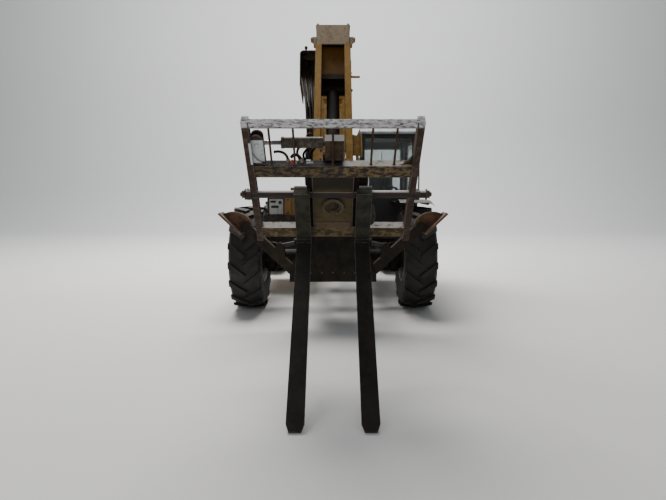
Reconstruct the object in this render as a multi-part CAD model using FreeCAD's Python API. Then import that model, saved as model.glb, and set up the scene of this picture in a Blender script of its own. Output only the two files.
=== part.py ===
"""Telehandler with a telescopic boom, side-tilting fork carriage and front outriggers.

Millimetres, +Z up. The machine faces -Y and its cab stands on the +X side.
The origin lies on the ground, under the middle of the machine's box.
"""
import FreeCAD
import Part
import math
import os

# Running gear
FRONT_AXLE_Y = -250.0
WHEELBASE = 3150.0
REAR_AXLE_Y = FRONT_AXLE_Y + WHEELBASE
TYRE_RADIUS = 650.0
TYRE_WIDTH = 390.0
TRACK = 2110.0
WHEEL_X = TRACK / 2
RIM_RADIUS = 305.0
RIM_WIDTH = 350.0
LUG_COUNT = 17
LUG_HEIGHT = 32.0
LUG_THICK = 62.0
LUG_LEAN = 38.0
KINGPIN_X = 800.0
KNUCKLE_RADIUS = 75.0
KNUCKLE_HALF = 140.0
SPINDLE_RADIUS = 60.0
SPINDLE_CLEARANCE = 0.06
KINGPIN_RADIUS = 28.0
SEAT_GAP = 0.3
ARCH_HALF = 200.0
ARCH_TOP = 800.0
AXLE_PLATE = 605.0
AXLE_NOSE = 210.0
AXLE_ROOM = 210.0

# Chassis
RAIL_OUTER = 330.0
RAIL_THICK = 25.0
RAIL_BOTTOM = 560.0
RAIL_TOP = 960.0
FRAME_FRONT = -1410.0
WEIGHT_FRONT = REAR_AXLE_Y + TYRE_RADIUS + 240.0
REAR_END = WEIGHT_FRONT + 174.0
HITCH_LEVELS = (600.0, 700.0)
HITCH_PLATE = 25.0
HITCH_BORE = 16.0
POD_FRONT = 600.0
POD_REAR = REAR_AXLE_Y - TYRE_RADIUS - AXLE_ROOM
POD_INNER = 390.0
POD_OUTER = 1200.0
POD_BOTTOM = 520.0
POD_TOP = 1140.0
HUMP_TOP = 1430.0
HUMP_OUTER = 945.0
POD_WALL = 20.0
HOOD_DEPTH = 200.0
FLOOR_TOP = 900.0
FLOOR_BOTTOM = 802.0
HINGE_RADIUS = 12.0

# Mudguard over the cab side's front wheel
GUARD_RADIUS = 735.0
GUARD_SWEEP = 36.0
GUARD_INNER, GUARD_OUTER = 830.0, 1262.0
GUARD_THICK = 6.0
GUARD_LIP = 45.0

# Hoses
HOSE_RADIUS = 13.0
HOSE_TOP_X = (-335.0, -275.0, -215.0)
HOSE_LOW_X = (-234.0, -207.0, -180.0)
HOSE_TRAY_FRONT = 625.0

# Cab
CAB_FRONT = 600.0
CAB_REAR = REAR_AXLE_Y - TYRE_RADIUS - AXLE_ROOM
CAB_INNER = 390.0
CAB_OUTER = 1190.0
CAB_WALL = 50.0
CAB_ROOF = 2370.0
ROOF_THICK = 90.0
SILL_HEIGHT = 1250.0
GLASS_THICK = 6.0
GLASS_INSET = 12.0
DOOR_GAP = 6.0
DOOR_FRONT = CAB_FRONT + 60.0
DOOR_REAR = CAB_REAR - 440.0
WINDSCREEN_LOW = 1420.0
REAR_GLASS_TOP = 2180.0

# Boom
NECK_TOP_Y, NECK_TOP_Z = -1285.0, 3230.0
NECK_RISE, NECK_REACH = 182.4, 797.5
BOOM_PIVOT_Y = REAR_AXLE_Y + 450.0
BOOM_PIVOT_Z = 2020.0
BOOM_ANGLE = math.degrees(math.atan2(NECK_TOP_Z - NECK_RISE - BOOM_PIVOT_Z, BOOM_PIVOT_Y - NECK_TOP_Y))
BOOM_PIN = 55.0
OUTER_WIDTH, OUTER_HEIGHT, OUTER_WALL = 420.0, 520.0, 14.0
MIDDLE_WIDTH, MIDDLE_HEIGHT, MIDDLE_WALL = 360.0, 440.0, 12.0
INNER_WIDTH, INNER_HEIGHT, INNER_WALL = 300.0, 360.0, 10.0
INNER_REAR = 480.0
INNER_FRONT = (BOOM_PIVOT_Y - NECK_TOP_Y) / math.cos(math.radians(BOOM_ANGLE)) - NECK_REACH
MIDDLE_REAR, MIDDLE_FRONT = 320.0, INNER_FRONT - 110.0
OUTER_REAR, OUTER_FRONT = -260.0, INNER_FRONT - 200.0
PAD_CLEARANCE = 0.5

# Gooseneck
NOSE_Y, NOSE_Z = -2400.0, 1490.0
NOSE_RADIUS = 110.0
NECK_HALF = 165.0
NECK_PLATE = 24.0
FLANGE_WIDTH = 65.0
FLANGE_THICK = 15.0
NOSE_PIN = 45.0
CAP_LENGTH = 290.0
CAP_HALF = 169.0
WEB_LENGTH = 430.0
WEB_RECESS = 60.0

# Carriage, in its own plane: v runs up the carriage, w out of its front
TILT = 41.0
CARRIAGE_Y, CARRIAGE_Z = -2755.0, 1203.0
CARRIAGE_WIDTH = 1270.0
UPRIGHT_WIDTH = 50.0
UPRIGHT_DEPTH = 75.0
LOWER_LOW, LOWER_HIGH = -100.0, 2.0
UPRIGHT_LOW = -152.0
BAR_DEPTH = 70.0
BOSS_V = 242.0
BOSS_RADIUS = 85.0
SHAFT_V = 352.0
SHAFT_RADIUS = 30.0
UPPER_LOW, UPPER_HIGH = 537.0, 643.0
TOP_V = 997.0
TOP_BAR_HEIGHT = 50.0
BACKREST_BAR = 8.0
BACKREST_BARS = [CARRIAGE_WIDTH * share for share in (-0.354, -0.22, 0.0, 0.22, 0.354)]
SHAFT_Y = 20.0
SWIVEL_PIN = 50.0
FORK_SPACING = 480.0
FORK_WIDTH = 120.0
FORK_THICK = 50.0
FORK_LENGTH = 1643.0
FORK_HEEL_V = -152.0
FORK_FACE_W = 0.3
FORK_TIP_THICK = 14.0
SIDE_TILT_V = 800.0
SIDE_TILT_DEPTH = 75.0
SIDE_BASE_X = -30.0
SIDE_LUG_X = 88.0 - CARRIAGE_WIDTH / 2
SIDE_PLATE = 15.0
SEAT_DEPTH = 82.0

# Cylinders: base pin, rod pin, radii, barrel length as a share of the pins' distance, and how far each
# closes
LIFT_BASE = (REAR_AXLE_Y + 330.0, 830.0)
LIFT_LUG_S, LIFT_LUG_T = 900.0, -370.0
LIFT_BARREL, LIFT_ROD, LIFT_PIN = 95.0, 50.0, 40.0
LIFT_SHARE, LIFT_CLOSES = 0.785, 170.0
TILT_BASE = (-1600.0, 2500.0)
TILT_LUG_RADIUS, TILT_LUG_ANGLE = 200.0, 170.0
TILT_BARREL, TILT_ROD, TILT_PIN = 62.0, 32.0, 28.0
TILT_SHARE, TILT_CLOSES = 0.66, 185.0
LEG_BASE_X, LEG_BASE_Z = 100.0, 1000.0
LEG_LUG_RADIUS, LEG_LUG_ANGLE = 350.0, 60.0
LEG_BARREL, LEG_ROD, LEG_EYE_PIN = 45.0, 24.0, 18.0
LEG_SHARE, LEG_CLOSES = 0.66, 10.0
SIDE_BARREL, SIDE_ROD, SIDE_PIN = 40.0, 16.0, 16.0
SIDE_SHARE, SIDE_CLOSES = 0.665, 95.0
EYE_WIDTH = 1.1
EYE_RADIUS = 1.75
EYE_CLEARANCE = 0.3

# Outriggers
LEG_Y = -1335.0
LEG_DEPTH = 110.0
LEG_PIVOT_X, LEG_PIVOT_Z = 400.0, 600.0
LEG_ANGLE = 43.4
LEG_LENGTH = 757.0
LEG_HEIGHT = 100.0
LEG_PIN = 32.0
FOOT_ANGLE = 44.0
FOOT_INNER, FOOT_OUTER = -30.0, 290.0
FOOT_DOME = 92.0
FOOT_DROP = 72.0
FOOT_THICK = 22.0
FOOT_DEPTH = 250.0

Vector = FreeCAD.Vector
X_AXIS = Vector(1, 0, 0)
Y_AXIS = Vector(0, 1, 0)
Z_AXIS = Vector(0, 0, 1)
nodes = {}


def box(x0, x1, y0, y1, z0, z1):
    return Part.makeBox(abs(x1 - x0), abs(y1 - y0), abs(z1 - z0),
                        Vector(min(x0, x1), min(y0, y1), min(z0, z1)))


def rod(start, end, radius):
    start, end = Vector(*start), Vector(*end)
    return Part.makeCylinder(radius, (end - start).Length, start, end - start)


def profile(points, origin, direction, along_y=False):
    """Prism of an outline: (a, b) is a corner, (a, b, c, d) an arc through (a, b) to (c, d)."""
    def place(a, b):
        return Vector(a, origin, b) if along_y else Vector(origin, a, b)
    edges = []
    last = place(*points[0][-2:])
    for point in list(points[1:]) + [points[0][-2:]]:
        end = place(*point[-2:])
        if len(point) == 4:
            edges.append(Part.Arc(last, place(*point[:2]), end).toShape())
        elif (end - last).Length > 0.01:
            edges.append(Part.LineSegment(last, end).toShape())
        last = end
    face = Part.Face(Part.Wire(edges))
    return face.extrude(Vector(0, direction, 0) if along_y else Vector(direction, 0, 0))


def plate_x(points, x0, x1):
    """Plate with its outline in the Y-Z plane, from x0 to x1."""
    return profile(points, x0, x1 - x0)


def plate_y(points, y0, y1):
    """Plate with its outline in the X-Z plane, from y0 to y1."""
    return profile(points, y0, y1 - y0, along_y=True)


def fuse(shapes):
    shapes = list(shapes)
    return shapes[0].multiFuse(shapes[1:]).removeSplitter() if len(shapes) > 1 else shapes[0]


def mirrored(shape):
    return shape.mirror(Vector(0, 0, 0), X_AXIS)


def both(shape):
    return [shape, mirrored(shape)]


def moved(shape, x=0.0, y=0.0, z=0.0):
    copy = shape.copy()
    copy.translate(Vector(x, y, z))
    return copy


def turned(shape, centre, axis, degrees):
    copy = shape.copy()
    copy.rotate(centre, axis, degrees)
    return copy


def polar(y, z, radius, degrees):
    angle = math.radians(degrees)
    return y + radius * math.cos(angle), z + radius * math.sin(angle)


def boom_point(s, t):
    """Point of the boom's own plane: s forward from its pivot, t up from its centre line."""
    angle = math.radians(BOOM_ANGLE)
    return (BOOM_PIVOT_Y - s * math.cos(angle) + t * math.sin(angle),
            BOOM_PIVOT_Z + s * math.sin(angle) + t * math.cos(angle))


def on_boom(shape):
    """Carry a shape built forward (-Y) of the origin to the raised boom."""
    copy = turned(shape, Vector(0, 0, 0), X_AXIS, -BOOM_ANGLE)
    return moved(copy, 0, BOOM_PIVOT_Y, BOOM_PIVOT_Z)


def on_carriage(shape):
    """Carry a shape built upright, v = Z and w = -Y, to the tilted carriage."""
    copy = turned(shape, Vector(0, 0, 0), X_AXIS, TILT)
    return moved(copy, 0, CARRIAGE_Y, CARRIAGE_Z)


def carriage_point(v, w):
    angle = math.radians(TILT)
    return (CARRIAGE_Y - v * math.sin(angle) - w * math.cos(angle),
            CARRIAGE_Z + v * math.cos(angle) - w * math.sin(angle))


def cylinder_pair(base, eye, radii, barrel_share, closes):
    """Barrel and rod between two pins that run along X, in the plane x = 0.

    The barrel turns on its pin. The rod's eye is a closed disc that the pin's two ends reach from outside.
    """
    by, bz = base
    barrel_radius, rod_radius, pin_radius = radii
    length = math.hypot(eye[0] - by, eye[1] - bz)
    angle = math.degrees(math.atan2(eye[1] - bz, eye[0] - by))
    half = rod_radius * EYE_WIDTH
    ring = pin_radius * EYE_RADIUS
    end = length * barrel_share
    gland = barrel_radius * 0.5
    start = ring + barrel_radius * 0.35
    barrel = fuse([
        rod((0, start, 0), (0, end, 0), barrel_radius),
        rod((0, end - gland, 0), (0, end, 0), barrel_radius * 1.08),
        rod((-half, 0, 0), (half, 0, 0), ring),
        box(-half, half, 0, start + 5, -pin_radius, pin_radius),
    ])
    barrel = barrel.cut(rod((0, start + 12, 0), (0, end + 1, 0), rod_radius + EYE_CLEARANCE))
    barrel = barrel.cut(rod((-half - 1, 0, 0), (half + 1, 0, 0), pin_radius + EYE_CLEARANCE))
    piston = fuse([rod((0, start + 18 + closes, 0), (0, length, 0), rod_radius),
                   rod((-half, length, 0), (half, length, 0), ring)])
    return [moved(turned(shape, Vector(0, 0, 0), X_AXIS, angle), 0, by, bz) for shape in (barrel, piston)]


def pin_through(y, z, radius, reach):
    """Pin along X that carries a barrel's eye."""
    return rod((-reach, y, z), (reach, y, z), radius)


def pin_ends(y, z, radius, eye_half, reach):
    """The two ends of a pin along X, from just outside a rod's eye to the outside of its lugs."""
    start = eye_half + EYE_CLEARANCE
    return [rod((side * start, y, z), (side * reach, y, z), radius) for side in (-1, 1)]


def hinge(start, direction, lengths, radius):
    """Knuckles along a hinge line: the fixed ones with their pin, and the moving one between them."""
    start = Vector(*start)
    first, middle, last = lengths
    total = first + middle + last
    gap = SEAT_GAP
    fixed = [Part.makeCylinder(radius, first - gap, start, direction),
             Part.makeCylinder(radius, last - gap, start + direction * (first + middle + gap), direction),
             Part.makeCylinder(radius * 0.5, total, start, direction)]
    moving = Part.makeCylinder(radius, middle, start + direction * first, direction)
    moving = moving.cut(Part.makeCylinder(radius * 0.5 + gap, middle, start + direction * first, direction))
    return fixed, moving


def hose(points, radius):
    """Straight runs joined by tangent arcs, each arc as large as half of its shorter run allows."""
    points = [Vector(*point) for point in points]
    pieces = []
    start = points[0]
    for index in range(1, len(points) - 1):
        before, corner, after = points[index - 1:index + 2]
        back, onward = before - corner, after - corner
        reach = 0.45 * min(back.Length, onward.Length)
        back.normalize()
        onward.normalize()
        turn = math.pi - back.getAngle(onward)
        bend = reach / math.tan(turn / 2)
        first, last = corner + back * reach, corner + onward * reach
        middle = (back + onward).normalize()
        centre = corner + middle * math.hypot(bend, reach)
        axis = onward.cross(back)
        ring = Part.Face(Part.Wire(Part.makeCircle(radius, first, back)))
        elbow = ring.revolve(centre, axis, math.degrees(turn))
        pieces += [Part.makeCylinder(radius, (first - start).Length, start, first - start), elbow]
        start = last
    end = points[-1]
    pieces.append(Part.makeCylinder(radius, (end - start).Length, start, end - start))
    return fuse(pieces)


def build_chassis():
    tail_y = WEIGHT_FRONT - 370
    plates_y = (FRONT_AXLE_Y + AXLE_PLATE - 55, REAR_AXLE_Y - AXLE_PLATE)
    rail = plate_x([(FRAME_FRONT, RAIL_BOTTOM), (FRAME_FRONT, RAIL_TOP - 40), (-700, RAIL_TOP),
                    (REAR_AXLE_Y - 400, RAIL_TOP), (BOOM_PIVOT_Y - 290, BOOM_PIVOT_Z - 200),
                    (BOOM_PIVOT_Y - 170, BOOM_PIVOT_Z + 120),
                    (BOOM_PIVOT_Y, BOOM_PIVOT_Z + 190, BOOM_PIVOT_Y + 150, BOOM_PIVOT_Z + 110),
                    (WEIGHT_FRONT - 170, 1500), (WEIGHT_FRONT, 1150), (WEIGHT_FRONT, RAIL_BOTTOM + 40),
                    (tail_y, RAIL_BOTTOM)], RAIL_OUTER - RAIL_THICK, RAIL_OUTER)
    inner = RAIL_OUTER - RAIL_THICK
    parts = both(rail)
    crossings = [(FRAME_FRONT, LEG_Y - LEG_DEPTH / 2 - 6, RAIL_BOTTOM, RAIL_TOP - 40),
                 (LEG_Y + LEG_DEPTH / 2 + 6, LEG_Y + LEG_DEPTH / 2 + 30, RAIL_BOTTOM, RAIL_TOP - 60),
                 (plates_y[0], plates_y[0] + 30, RAIL_BOTTOM, RAIL_TOP - 120),
                 (plates_y[1] - 15, plates_y[1] + 15, RAIL_BOTTOM, RAIL_TOP - 120),
                 (WEIGHT_FRONT - 230, WEIGHT_FRONT, RAIL_BOTTOM + 40, 1150)]
    for y0, y1, z0, z1 in crossings:
        parts.append(box(-inner, inner, y0, y1, z0, z1))
    ly, lz = LIFT_BASE
    for y0, y1 in ((-1260, -700), (plates_y[1] - 395, plates_y[1] + 15), (ly - 95, tail_y)):
        parts.append(box(-inner, inner, y0, y1, RAIL_BOTTOM, RAIL_BOTTOM + 20))
    parts.append(rod((-RAIL_OUTER - 20, BOOM_PIVOT_Y, BOOM_PIVOT_Z),
                     (RAIL_OUTER + 20, BOOM_PIVOT_Y, BOOM_PIVOT_Z), BOOM_PIN))
    eye_half = LIFT_ROD * EYE_WIDTH
    for side in (-1, 1):
        parts.append(plate_x([(ly - 90, RAIL_BOTTOM), (ly - 70, lz), (ly, lz + 75, ly + 70, lz),
                              (ly + 150, RAIL_BOTTOM)], side * (eye_half + 5), side * (eye_half + 33)))
    parts.append(pin_through(ly, lz, LIFT_PIN, eye_half + 38))
    # Axle saddles under the rails
    for axle_y in (FRONT_AXLE_Y, REAR_AXLE_Y):
        parts += both(box(RAIL_OUTER - 110, RAIL_OUTER, axle_y - 130, axle_y + 130, ARCH_TOP, RAIL_TOP - 20))
    # Outrigger carrier: two cross plates with the pivot pins between them
    carrier_x = LEG_PIVOT_X + 70
    outline = [(-carrier_x, 520), (carrier_x, 520), (carrier_x, 640), (RAIL_OUTER, 960), (150, 1055),
               (-150, 1055), (-RAIL_OUTER, 960), (-carrier_x, 640)]
    for y0 in (LEG_Y - LEG_DEPTH / 2 - 26, LEG_Y + LEG_DEPTH / 2 + 6):
        parts.append(plate_y(outline, y0, y0 + 20))
    for side in (-1, 1):
        for x, z, radius in ((LEG_PIVOT_X, LEG_PIVOT_Z, LEG_PIN), (LEG_BASE_X, LEG_BASE_Z, LEG_EYE_PIN)):
            parts.append(rod((side * x, LEG_Y - LEG_DEPTH / 2 - 30, z),
                             (side * x, LEG_Y + LEG_DEPTH / 2 + 30, z), radius))
    frame = fuse(parts)
    slot = LEG_DEPTH / 2 + 6
    keep = [rod((side * x, LEG_Y - slot, z), (side * x, LEG_Y + slot, z), radius)
            for side in (-1, 1)
            for x, z, radius in ((LEG_PIVOT_X, LEG_PIVOT_Z, LEG_PIN), (LEG_BASE_X, LEG_BASE_Z, LEG_EYE_PIN))]
    keep.append(box(-50, 50, LEG_Y - slot, LEG_Y + slot, 545, 1040))
    frame = frame.cut(box(-RAIL_OUTER, RAIL_OUTER, LEG_Y - slot, LEG_Y + slot, 500, 1200))
    # The axles pass under arches in the rails, the drive shafts through the cross plates
    for axle_y in (FRONT_AXLE_Y, REAR_AXLE_Y):
        frame = frame.cut(box(-RAIL_OUTER - 1, RAIL_OUTER + 1, axle_y - ARCH_HALF, axle_y + ARCH_HALF, 500,
                              ARCH_TOP))
    for y in plates_y:
        frame = frame.cut(rod((0, y - 40, TYRE_RADIUS), (0, y + 40, TYRE_RADIUS), 75))
    # Arms that carry the engine housing and the cab
    arms = []
    for y in (CAB_FRONT + 30, CAB_REAR - 130):
        arms.append(box(-RAIL_OUTER, -POD_INNER, y, y + 100, 640, FLOOR_BOTTOM))
        arms.append(box(RAIL_OUTER, CAB_OUTER - 150, y, y + 100, FLOOR_BOTTOM - 70, FLOOR_BOTTOM))
    nodes["chassis_frame"] = fuse([frame] + keep + arms)

    weight = plate_y([(-1000, 640), (-880, 560), (880, 560), (1000, 640), (1000, 1080), (850, 1180),
                      (-850, 1180), (-1000, 1080)], WEIGHT_FRONT, REAR_END - 14)
    hitch_y = REAR_END - 40
    ears = [box(-60, 60, REAR_END - 90, REAR_END, z, z + HITCH_PLATE) for z in HITCH_LEVELS]
    notch = box(-90, 90, REAR_END - 84, REAR_END + 5, 550, HITCH_LEVELS[1] + 60)
    weight = fuse([weight.cut(notch)] + ears)
    nodes["counterweight"] = weight.cut(rod((0, hitch_y, 540), (0, hitch_y, HITCH_LEVELS[1] + 30),
                                            HITCH_BORE))


def build_axle(axle_y):
    inner = KINGPIN_X - 120
    tube = Part.makeCylinder(95, 2 * inner, Vector(-inner, axle_y, TYRE_RADIUS), X_AXIS)
    bulge = revolve_x([(-190, 60), (-190, 100), (-120, 165), (-60, 182), (60, 182), (120, 165), (190, 100),
                       (190, 60)])
    parts = [tube, moved(bulge, 0, axle_y, TYRE_RADIUS),
             Part.makeCylinder(80, 210, Vector(0, axle_y, TYRE_RADIUS),
                               Y_AXIS * (1 if axle_y < 500 else -1))]
    clear = KNUCKLE_HALF + SEAT_GAP
    for side in (-1, 1):
        yoke = plate_y([(side * (inner - 60), TYRE_RADIUS - 90),
                        (side * (KINGPIN_X - 60), TYRE_RADIUS - clear - 45),
                        (side * (KINGPIN_X + 45), TYRE_RADIUS - clear - 40),
                        (side * (KINGPIN_X + 45), TYRE_RADIUS - clear),
                        (side * (KINGPIN_X - 88), TYRE_RADIUS - clear),
                        (side * (KINGPIN_X - 88), TYRE_RADIUS + clear),
                        (side * (KINGPIN_X + 45), TYRE_RADIUS + clear),
                        (side * (KINGPIN_X + 45), TYRE_RADIUS + clear + 40),
                        (side * (KINGPIN_X - 60), TYRE_RADIUS + clear + 45),
                        (side * (inner - 60), TYRE_RADIUS + 90)], axle_y - 60, axle_y + 60)
        parts.append(yoke)
        for z0, z1 in ((clear - 15, clear + 52), (-clear - 52, -clear + 15)):
            parts.append(rod((side * KINGPIN_X, axle_y, TYRE_RADIUS + z0),
                             (side * KINGPIN_X, axle_y, TYRE_RADIUS + z1), KINGPIN_RADIUS))
        parts.append(box(side * (RAIL_OUTER - 105), side * (RAIL_OUTER - 5), axle_y - 110, axle_y + 110,
                         TYRE_RADIUS + 40, ARCH_TOP))
    return fuse(parts)


def build_knuckle(axle_y, side):
    x = side * KINGPIN_X
    body = rod((x, axle_y, TYRE_RADIUS - KNUCKLE_HALF), (x, axle_y, TYRE_RADIUS + KNUCKLE_HALF),
               KNUCKLE_RADIUS)
    drum = Part.makeCone(95, 140, 80, Vector(side * 880, axle_y, TYRE_RADIUS), X_AXIS * side)
    neck = rod((x, axle_y, TYRE_RADIUS), (side * 900, axle_y, TYRE_RADIUS), 90)
    spindle = rod((x, axle_y, TYRE_RADIUS), (side * (WHEEL_X + 5), axle_y, TYRE_RADIUS), SPINDLE_RADIUS)
    knuckle = fuse([body, drum, neck.common(box(side * (KINGPIN_X), side * 900, axle_y - 95, axle_y + 95,
                                                TYRE_RADIUS - 95, TYRE_RADIUS + 95)), spindle])
    for z in (TYRE_RADIUS - KNUCKLE_HALF - 1, TYRE_RADIUS + KNUCKLE_HALF + 1):
        inward = 14 if z < TYRE_RADIUS else -14
        knuckle = knuckle.cut(rod((x, axle_y, z), (x, axle_y, z + inward * 1.3), KINGPIN_RADIUS + SEAT_GAP))
    return knuckle


def revolve_x(points):
    """Turn an outline of (x, radius) corners about the X axis."""
    wire = Part.makePolygon([Vector(x, 0, r) for x, r in points + [points[0]]])
    return Part.Face(wire).revolve(Vector(0, 0, 0), X_AXIS, 360)


def build_rim():
    """Wheel for the +X side, centred on the origin, its outer face towards +X."""
    half = RIM_WIDTH / 2
    seat = RIM_RADIUS
    ring = revolve_x([(-half, seat - 14), (half, seat - 14), (half, seat + 22), (half - 14, seat + 22),
                      (half - 14, seat), (-half + 14, seat), (-half + 14, seat + 22), (-half, seat + 22)])
    dish = revolve_x([(-58, SPINDLE_RADIUS + SPINDLE_CLEARANCE), (-58, 135), (8, 140), (40, 200),
                      (62, seat - 13),
                      (84, seat - 13), (66, 205), (70, 165), (130, 150), (150, 120), (150, 20), (150, 0),
                      (8, 0), (8, SPINDLE_RADIUS + SPINDLE_CLEARANCE)])
    rim = ring.fuse(dish).removeSplitter()
    corners = [Vector(0, *polar(0, 0, 17, 60 * step)) for step in range(7)]
    nut = Part.Face(Part.makePolygon(corners)).extrude(Vector(26, 0, 0))
    nuts = []
    for index in range(10):
        angle = 36 * index
        y, z = polar(0, 0, 185, angle)
        nuts.append(moved(nut, 60, y, z))
    return rim.multiFuse(nuts).removeSplitter()


def build_tyre():
    """Carcass with two rows of leaning lugs, centred on the origin."""
    half = TYRE_WIDTH / 2
    tread = TYRE_RADIUS - LUG_HEIGHT
    bead = RIM_RADIUS + 0.3
    inner = RIM_WIDTH / 2 - 15
    carcass = revolve_x([(-inner, bead), (inner, bead), (inner, bead + 40), (half - 4, 430), (half - 2, 560),
                         (half - 32, tread - 12), (0, tread), (-half + 32, tread - 12), (-half + 2, 560),
                         (-half + 4, 430), (-inner, bead + 40)])
    envelope = revolve_x([(-half, 590), (half, 590), (half - 6, TYRE_RADIUS - 14), (0, TYRE_RADIUS),
                          (-half + 6, TYRE_RADIUS - 14)])
    pitch = 360.0 / LUG_COUNT
    lugs = []
    for side, offset in ((1, 0.0), (-1, pitch / 2)):
        lug = box(0, side * (half + 60), -LUG_THICK / 2, LUG_THICK / 2, 585, TYRE_RADIUS + 5)
        lug = turned(lug, Vector(0, 0, 0), Z_AXIS, side * LUG_LEAN)
        lug = lug.common(envelope)
        for index in range(LUG_COUNT):
            lugs.append(turned(lug, Vector(0, 0, 0), X_AXIS, offset + index * pitch))
    return carcass.multiFuse(lugs)


def build_wheels():
    rim, tyre = build_rim(), build_tyre()
    for axle, axle_y in (("front", FRONT_AXLE_Y), ("rear", REAR_AXLE_Y)):
        nodes[axle + "_axle"] = build_axle(axle_y)
        for name, side in (("left", 1), ("right", -1)):
            label = axle + "_" + name
            for kind, shape in (("wheel_", rim), ("tyre_", tyre)):
                piece = shape if side > 0 else mirrored(shape)
                nodes[kind + label] = moved(piece, side * WHEEL_X, axle_y, TYRE_RADIUS)
            nodes["knuckle_" + label] = build_knuckle(axle_y, side)


def build_engine_side():
    inner, outer = -POD_INNER, -POD_OUTER
    wall = POD_WALL
    split = POD_TOP - HOOD_DEPTH
    shell = box(inner, outer, POD_FRONT, POD_REAR, POD_BOTTOM, split)
    room = box(inner - wall, outer + wall, POD_FRONT + wall, POD_REAR - wall, POD_BOTTOM + wall, split + 1)
    shell = shell.cut(room)
    span = POD_REAR - POD_FRONT
    for index in range(9):
        y = POD_FRONT + span * (0.39 + 0.0486 * index)
        shell = shell.cut(box(outer - 1, outer + wall + 1, y, y + span * 0.0194, 640, 860))
    low = split + DOOR_GAP
    hump = -HUMP_OUTER
    hood = plate_y([(inner, low), (inner, HUMP_TOP - 40), (inner - 12, HUMP_TOP - 12, inner - 40, HUMP_TOP),
                    (hump + 60, HUMP_TOP), (hump + 18, HUMP_TOP - 18, hump, HUMP_TOP - 60),
                    (hump, POD_TOP + 30),
                    (hump - 9, POD_TOP + 9, hump - 30, POD_TOP), (outer + 120, POD_TOP),
                    (outer + 35, POD_TOP - 35, outer, POD_TOP - 110), (outer, low)], POD_FRONT, POD_REAR)
    cavity = plate_y([(inner - wall, low - 1), (inner - wall, HUMP_TOP - wall),
                      (hump + wall, HUMP_TOP - wall - 30),
                      (hump + wall, POD_TOP - wall), (outer + 128, POD_TOP - wall),
                      (outer + wall, POD_TOP - 118),
                      (outer + wall, low - 1)], POD_FRONT + wall, POD_REAR - wall)
    hood = hood.cut(cavity)
    # Louvres in the raised part's rear wall and outer side
    for index in range(6):
        z = POD_TOP + 50 + index * 36
        hood = hood.cut(box(hump + 60, inner - 120, POD_REAR - wall - 1, POD_REAR + 1, z, z + 14))
    axis_x, axis_z = inner + HINGE_RADIUS, split + DOOR_GAP / 2
    fixed, moving = [], []
    for y in (POD_FRONT + 150, POD_REAR - 270):
        fixed_parts, sleeve = hinge((axis_x, y, axis_z), Y_AXIS, (40, 40, 40), HINGE_RADIUS)
        fixed += fixed_parts
        for y0 in (y, y + 80.3):
            fixed.append(box(inner, axis_x, y0, y0 + 39.7, axis_z - 30, axis_z))
        moving += [sleeve, box(inner, inner + 5, y + 0.3, y + 79.7, low + 12, low + 30),
                   box(inner, inner + 5, y + 41, y + 79, axis_z, low + 14)]
    nodes["engine_housing"] = fuse([shell] + fixed)
    nodes["engine_hood"] = fuse([hood] + moving)
    nodes["engine"] = box(-540, -1080, POD_FRONT + 160, POD_REAR - 180,
                          POD_BOTTOM + wall, POD_BOTTOM + 480)
    nodes["fuel_tank"] = build_tank()
    nodes["mudguard"] = build_mudguard()
    nose = AXLE_NOSE + SEAT_GAP
    drive = [box(-150, 150, 760, 1180, 585, 800)]
    for start, end in ((FRONT_AXLE_Y + nose, 762), (1178, REAR_AXLE_Y - nose)):
        drive.append(rod((0, start, TYRE_RADIUS), (0, end, TYRE_RADIUS), 38))
        drive.append(rod((0, start, TYRE_RADIUS), (0, start + 60, TYRE_RADIUS), 62))
        drive.append(rod((0, end - 60, TYRE_RADIUS), (0, end, TYRE_RADIUS), 62))
    for side in (-1, 1):
        drive.append(box(side * 149, side * (RAIL_OUTER - RAIL_THICK), 900, 1040, 640, 740))
    nodes["gearbox"] = fuse(drive)


def build_mudguard():
    """Rounded sheet over the cab side's front wheel, with a flat tail bolted to the cab's front."""
    def section(radius):
        lip = radius - GUARD_LIP
        return [(GUARD_INNER, radius), (GUARD_OUTER - 90, radius), (GUARD_OUTER - 26, radius - 12),
                (GUARD_OUTER, lip), (GUARD_OUTER - GUARD_THICK, lip),
                (GUARD_OUTER - 30, radius - 12 - GUARD_THICK), (GUARD_OUTER - 92, radius - GUARD_THICK),
                (GUARD_INNER, radius - GUARD_THICK)]
    start = 90 - GUARD_SWEEP / 2
    wire = Part.makePolygon([Vector(x, 0, r) for x, r in section(GUARD_RADIUS) + section(GUARD_RADIUS)[:1]])
    face = turned(Part.Face(wire), Vector(0, 0, 0), X_AXIS, -GUARD_SWEEP / 2)
    arc = face.revolve(Vector(0, 0, 0), X_AXIS, GUARD_SWEEP)
    rear_y, rear_z = polar(0, 0, GUARD_RADIUS, start)
    drop = GUARD_RADIUS - rear_z
    length = CAB_FRONT - SEAT_GAP - FRONT_AXLE_Y - rear_y
    tail_face = moved(Part.Face(wire), 0, rear_y - 1, -drop)
    tail = tail_face.extrude(Vector(0, length + 1, 0))
    flange = box(GUARD_INNER + 40, CAB_OUTER - 20, rear_y + length - 8, rear_y + length, rear_z - 90,
                 rear_z - 2)
    return moved(fuse([arc, tail, flange]), 0, FRONT_AXLE_Y, TYRE_RADIUS)


def build_tank():
    tank = plate_y([(POD_INNER, POD_BOTTOM + 60), (POD_INNER + 60, POD_BOTTOM), (CAB_OUTER - 90, POD_BOTTOM),
                    (CAB_OUTER, POD_BOTTOM + 70), (CAB_OUTER, FLOOR_BOTTOM), (POD_INNER, FLOOR_BOTTOM)],
                   CAB_FRONT + 160, CAB_REAR - 160)
    middle = (CAB_FRONT + CAB_REAR) / 2
    step = box(CAB_OUTER - 190, CAB_OUTER + 5, middle - 340, middle + 80, 560, 700)
    return tank.cut(step)


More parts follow.
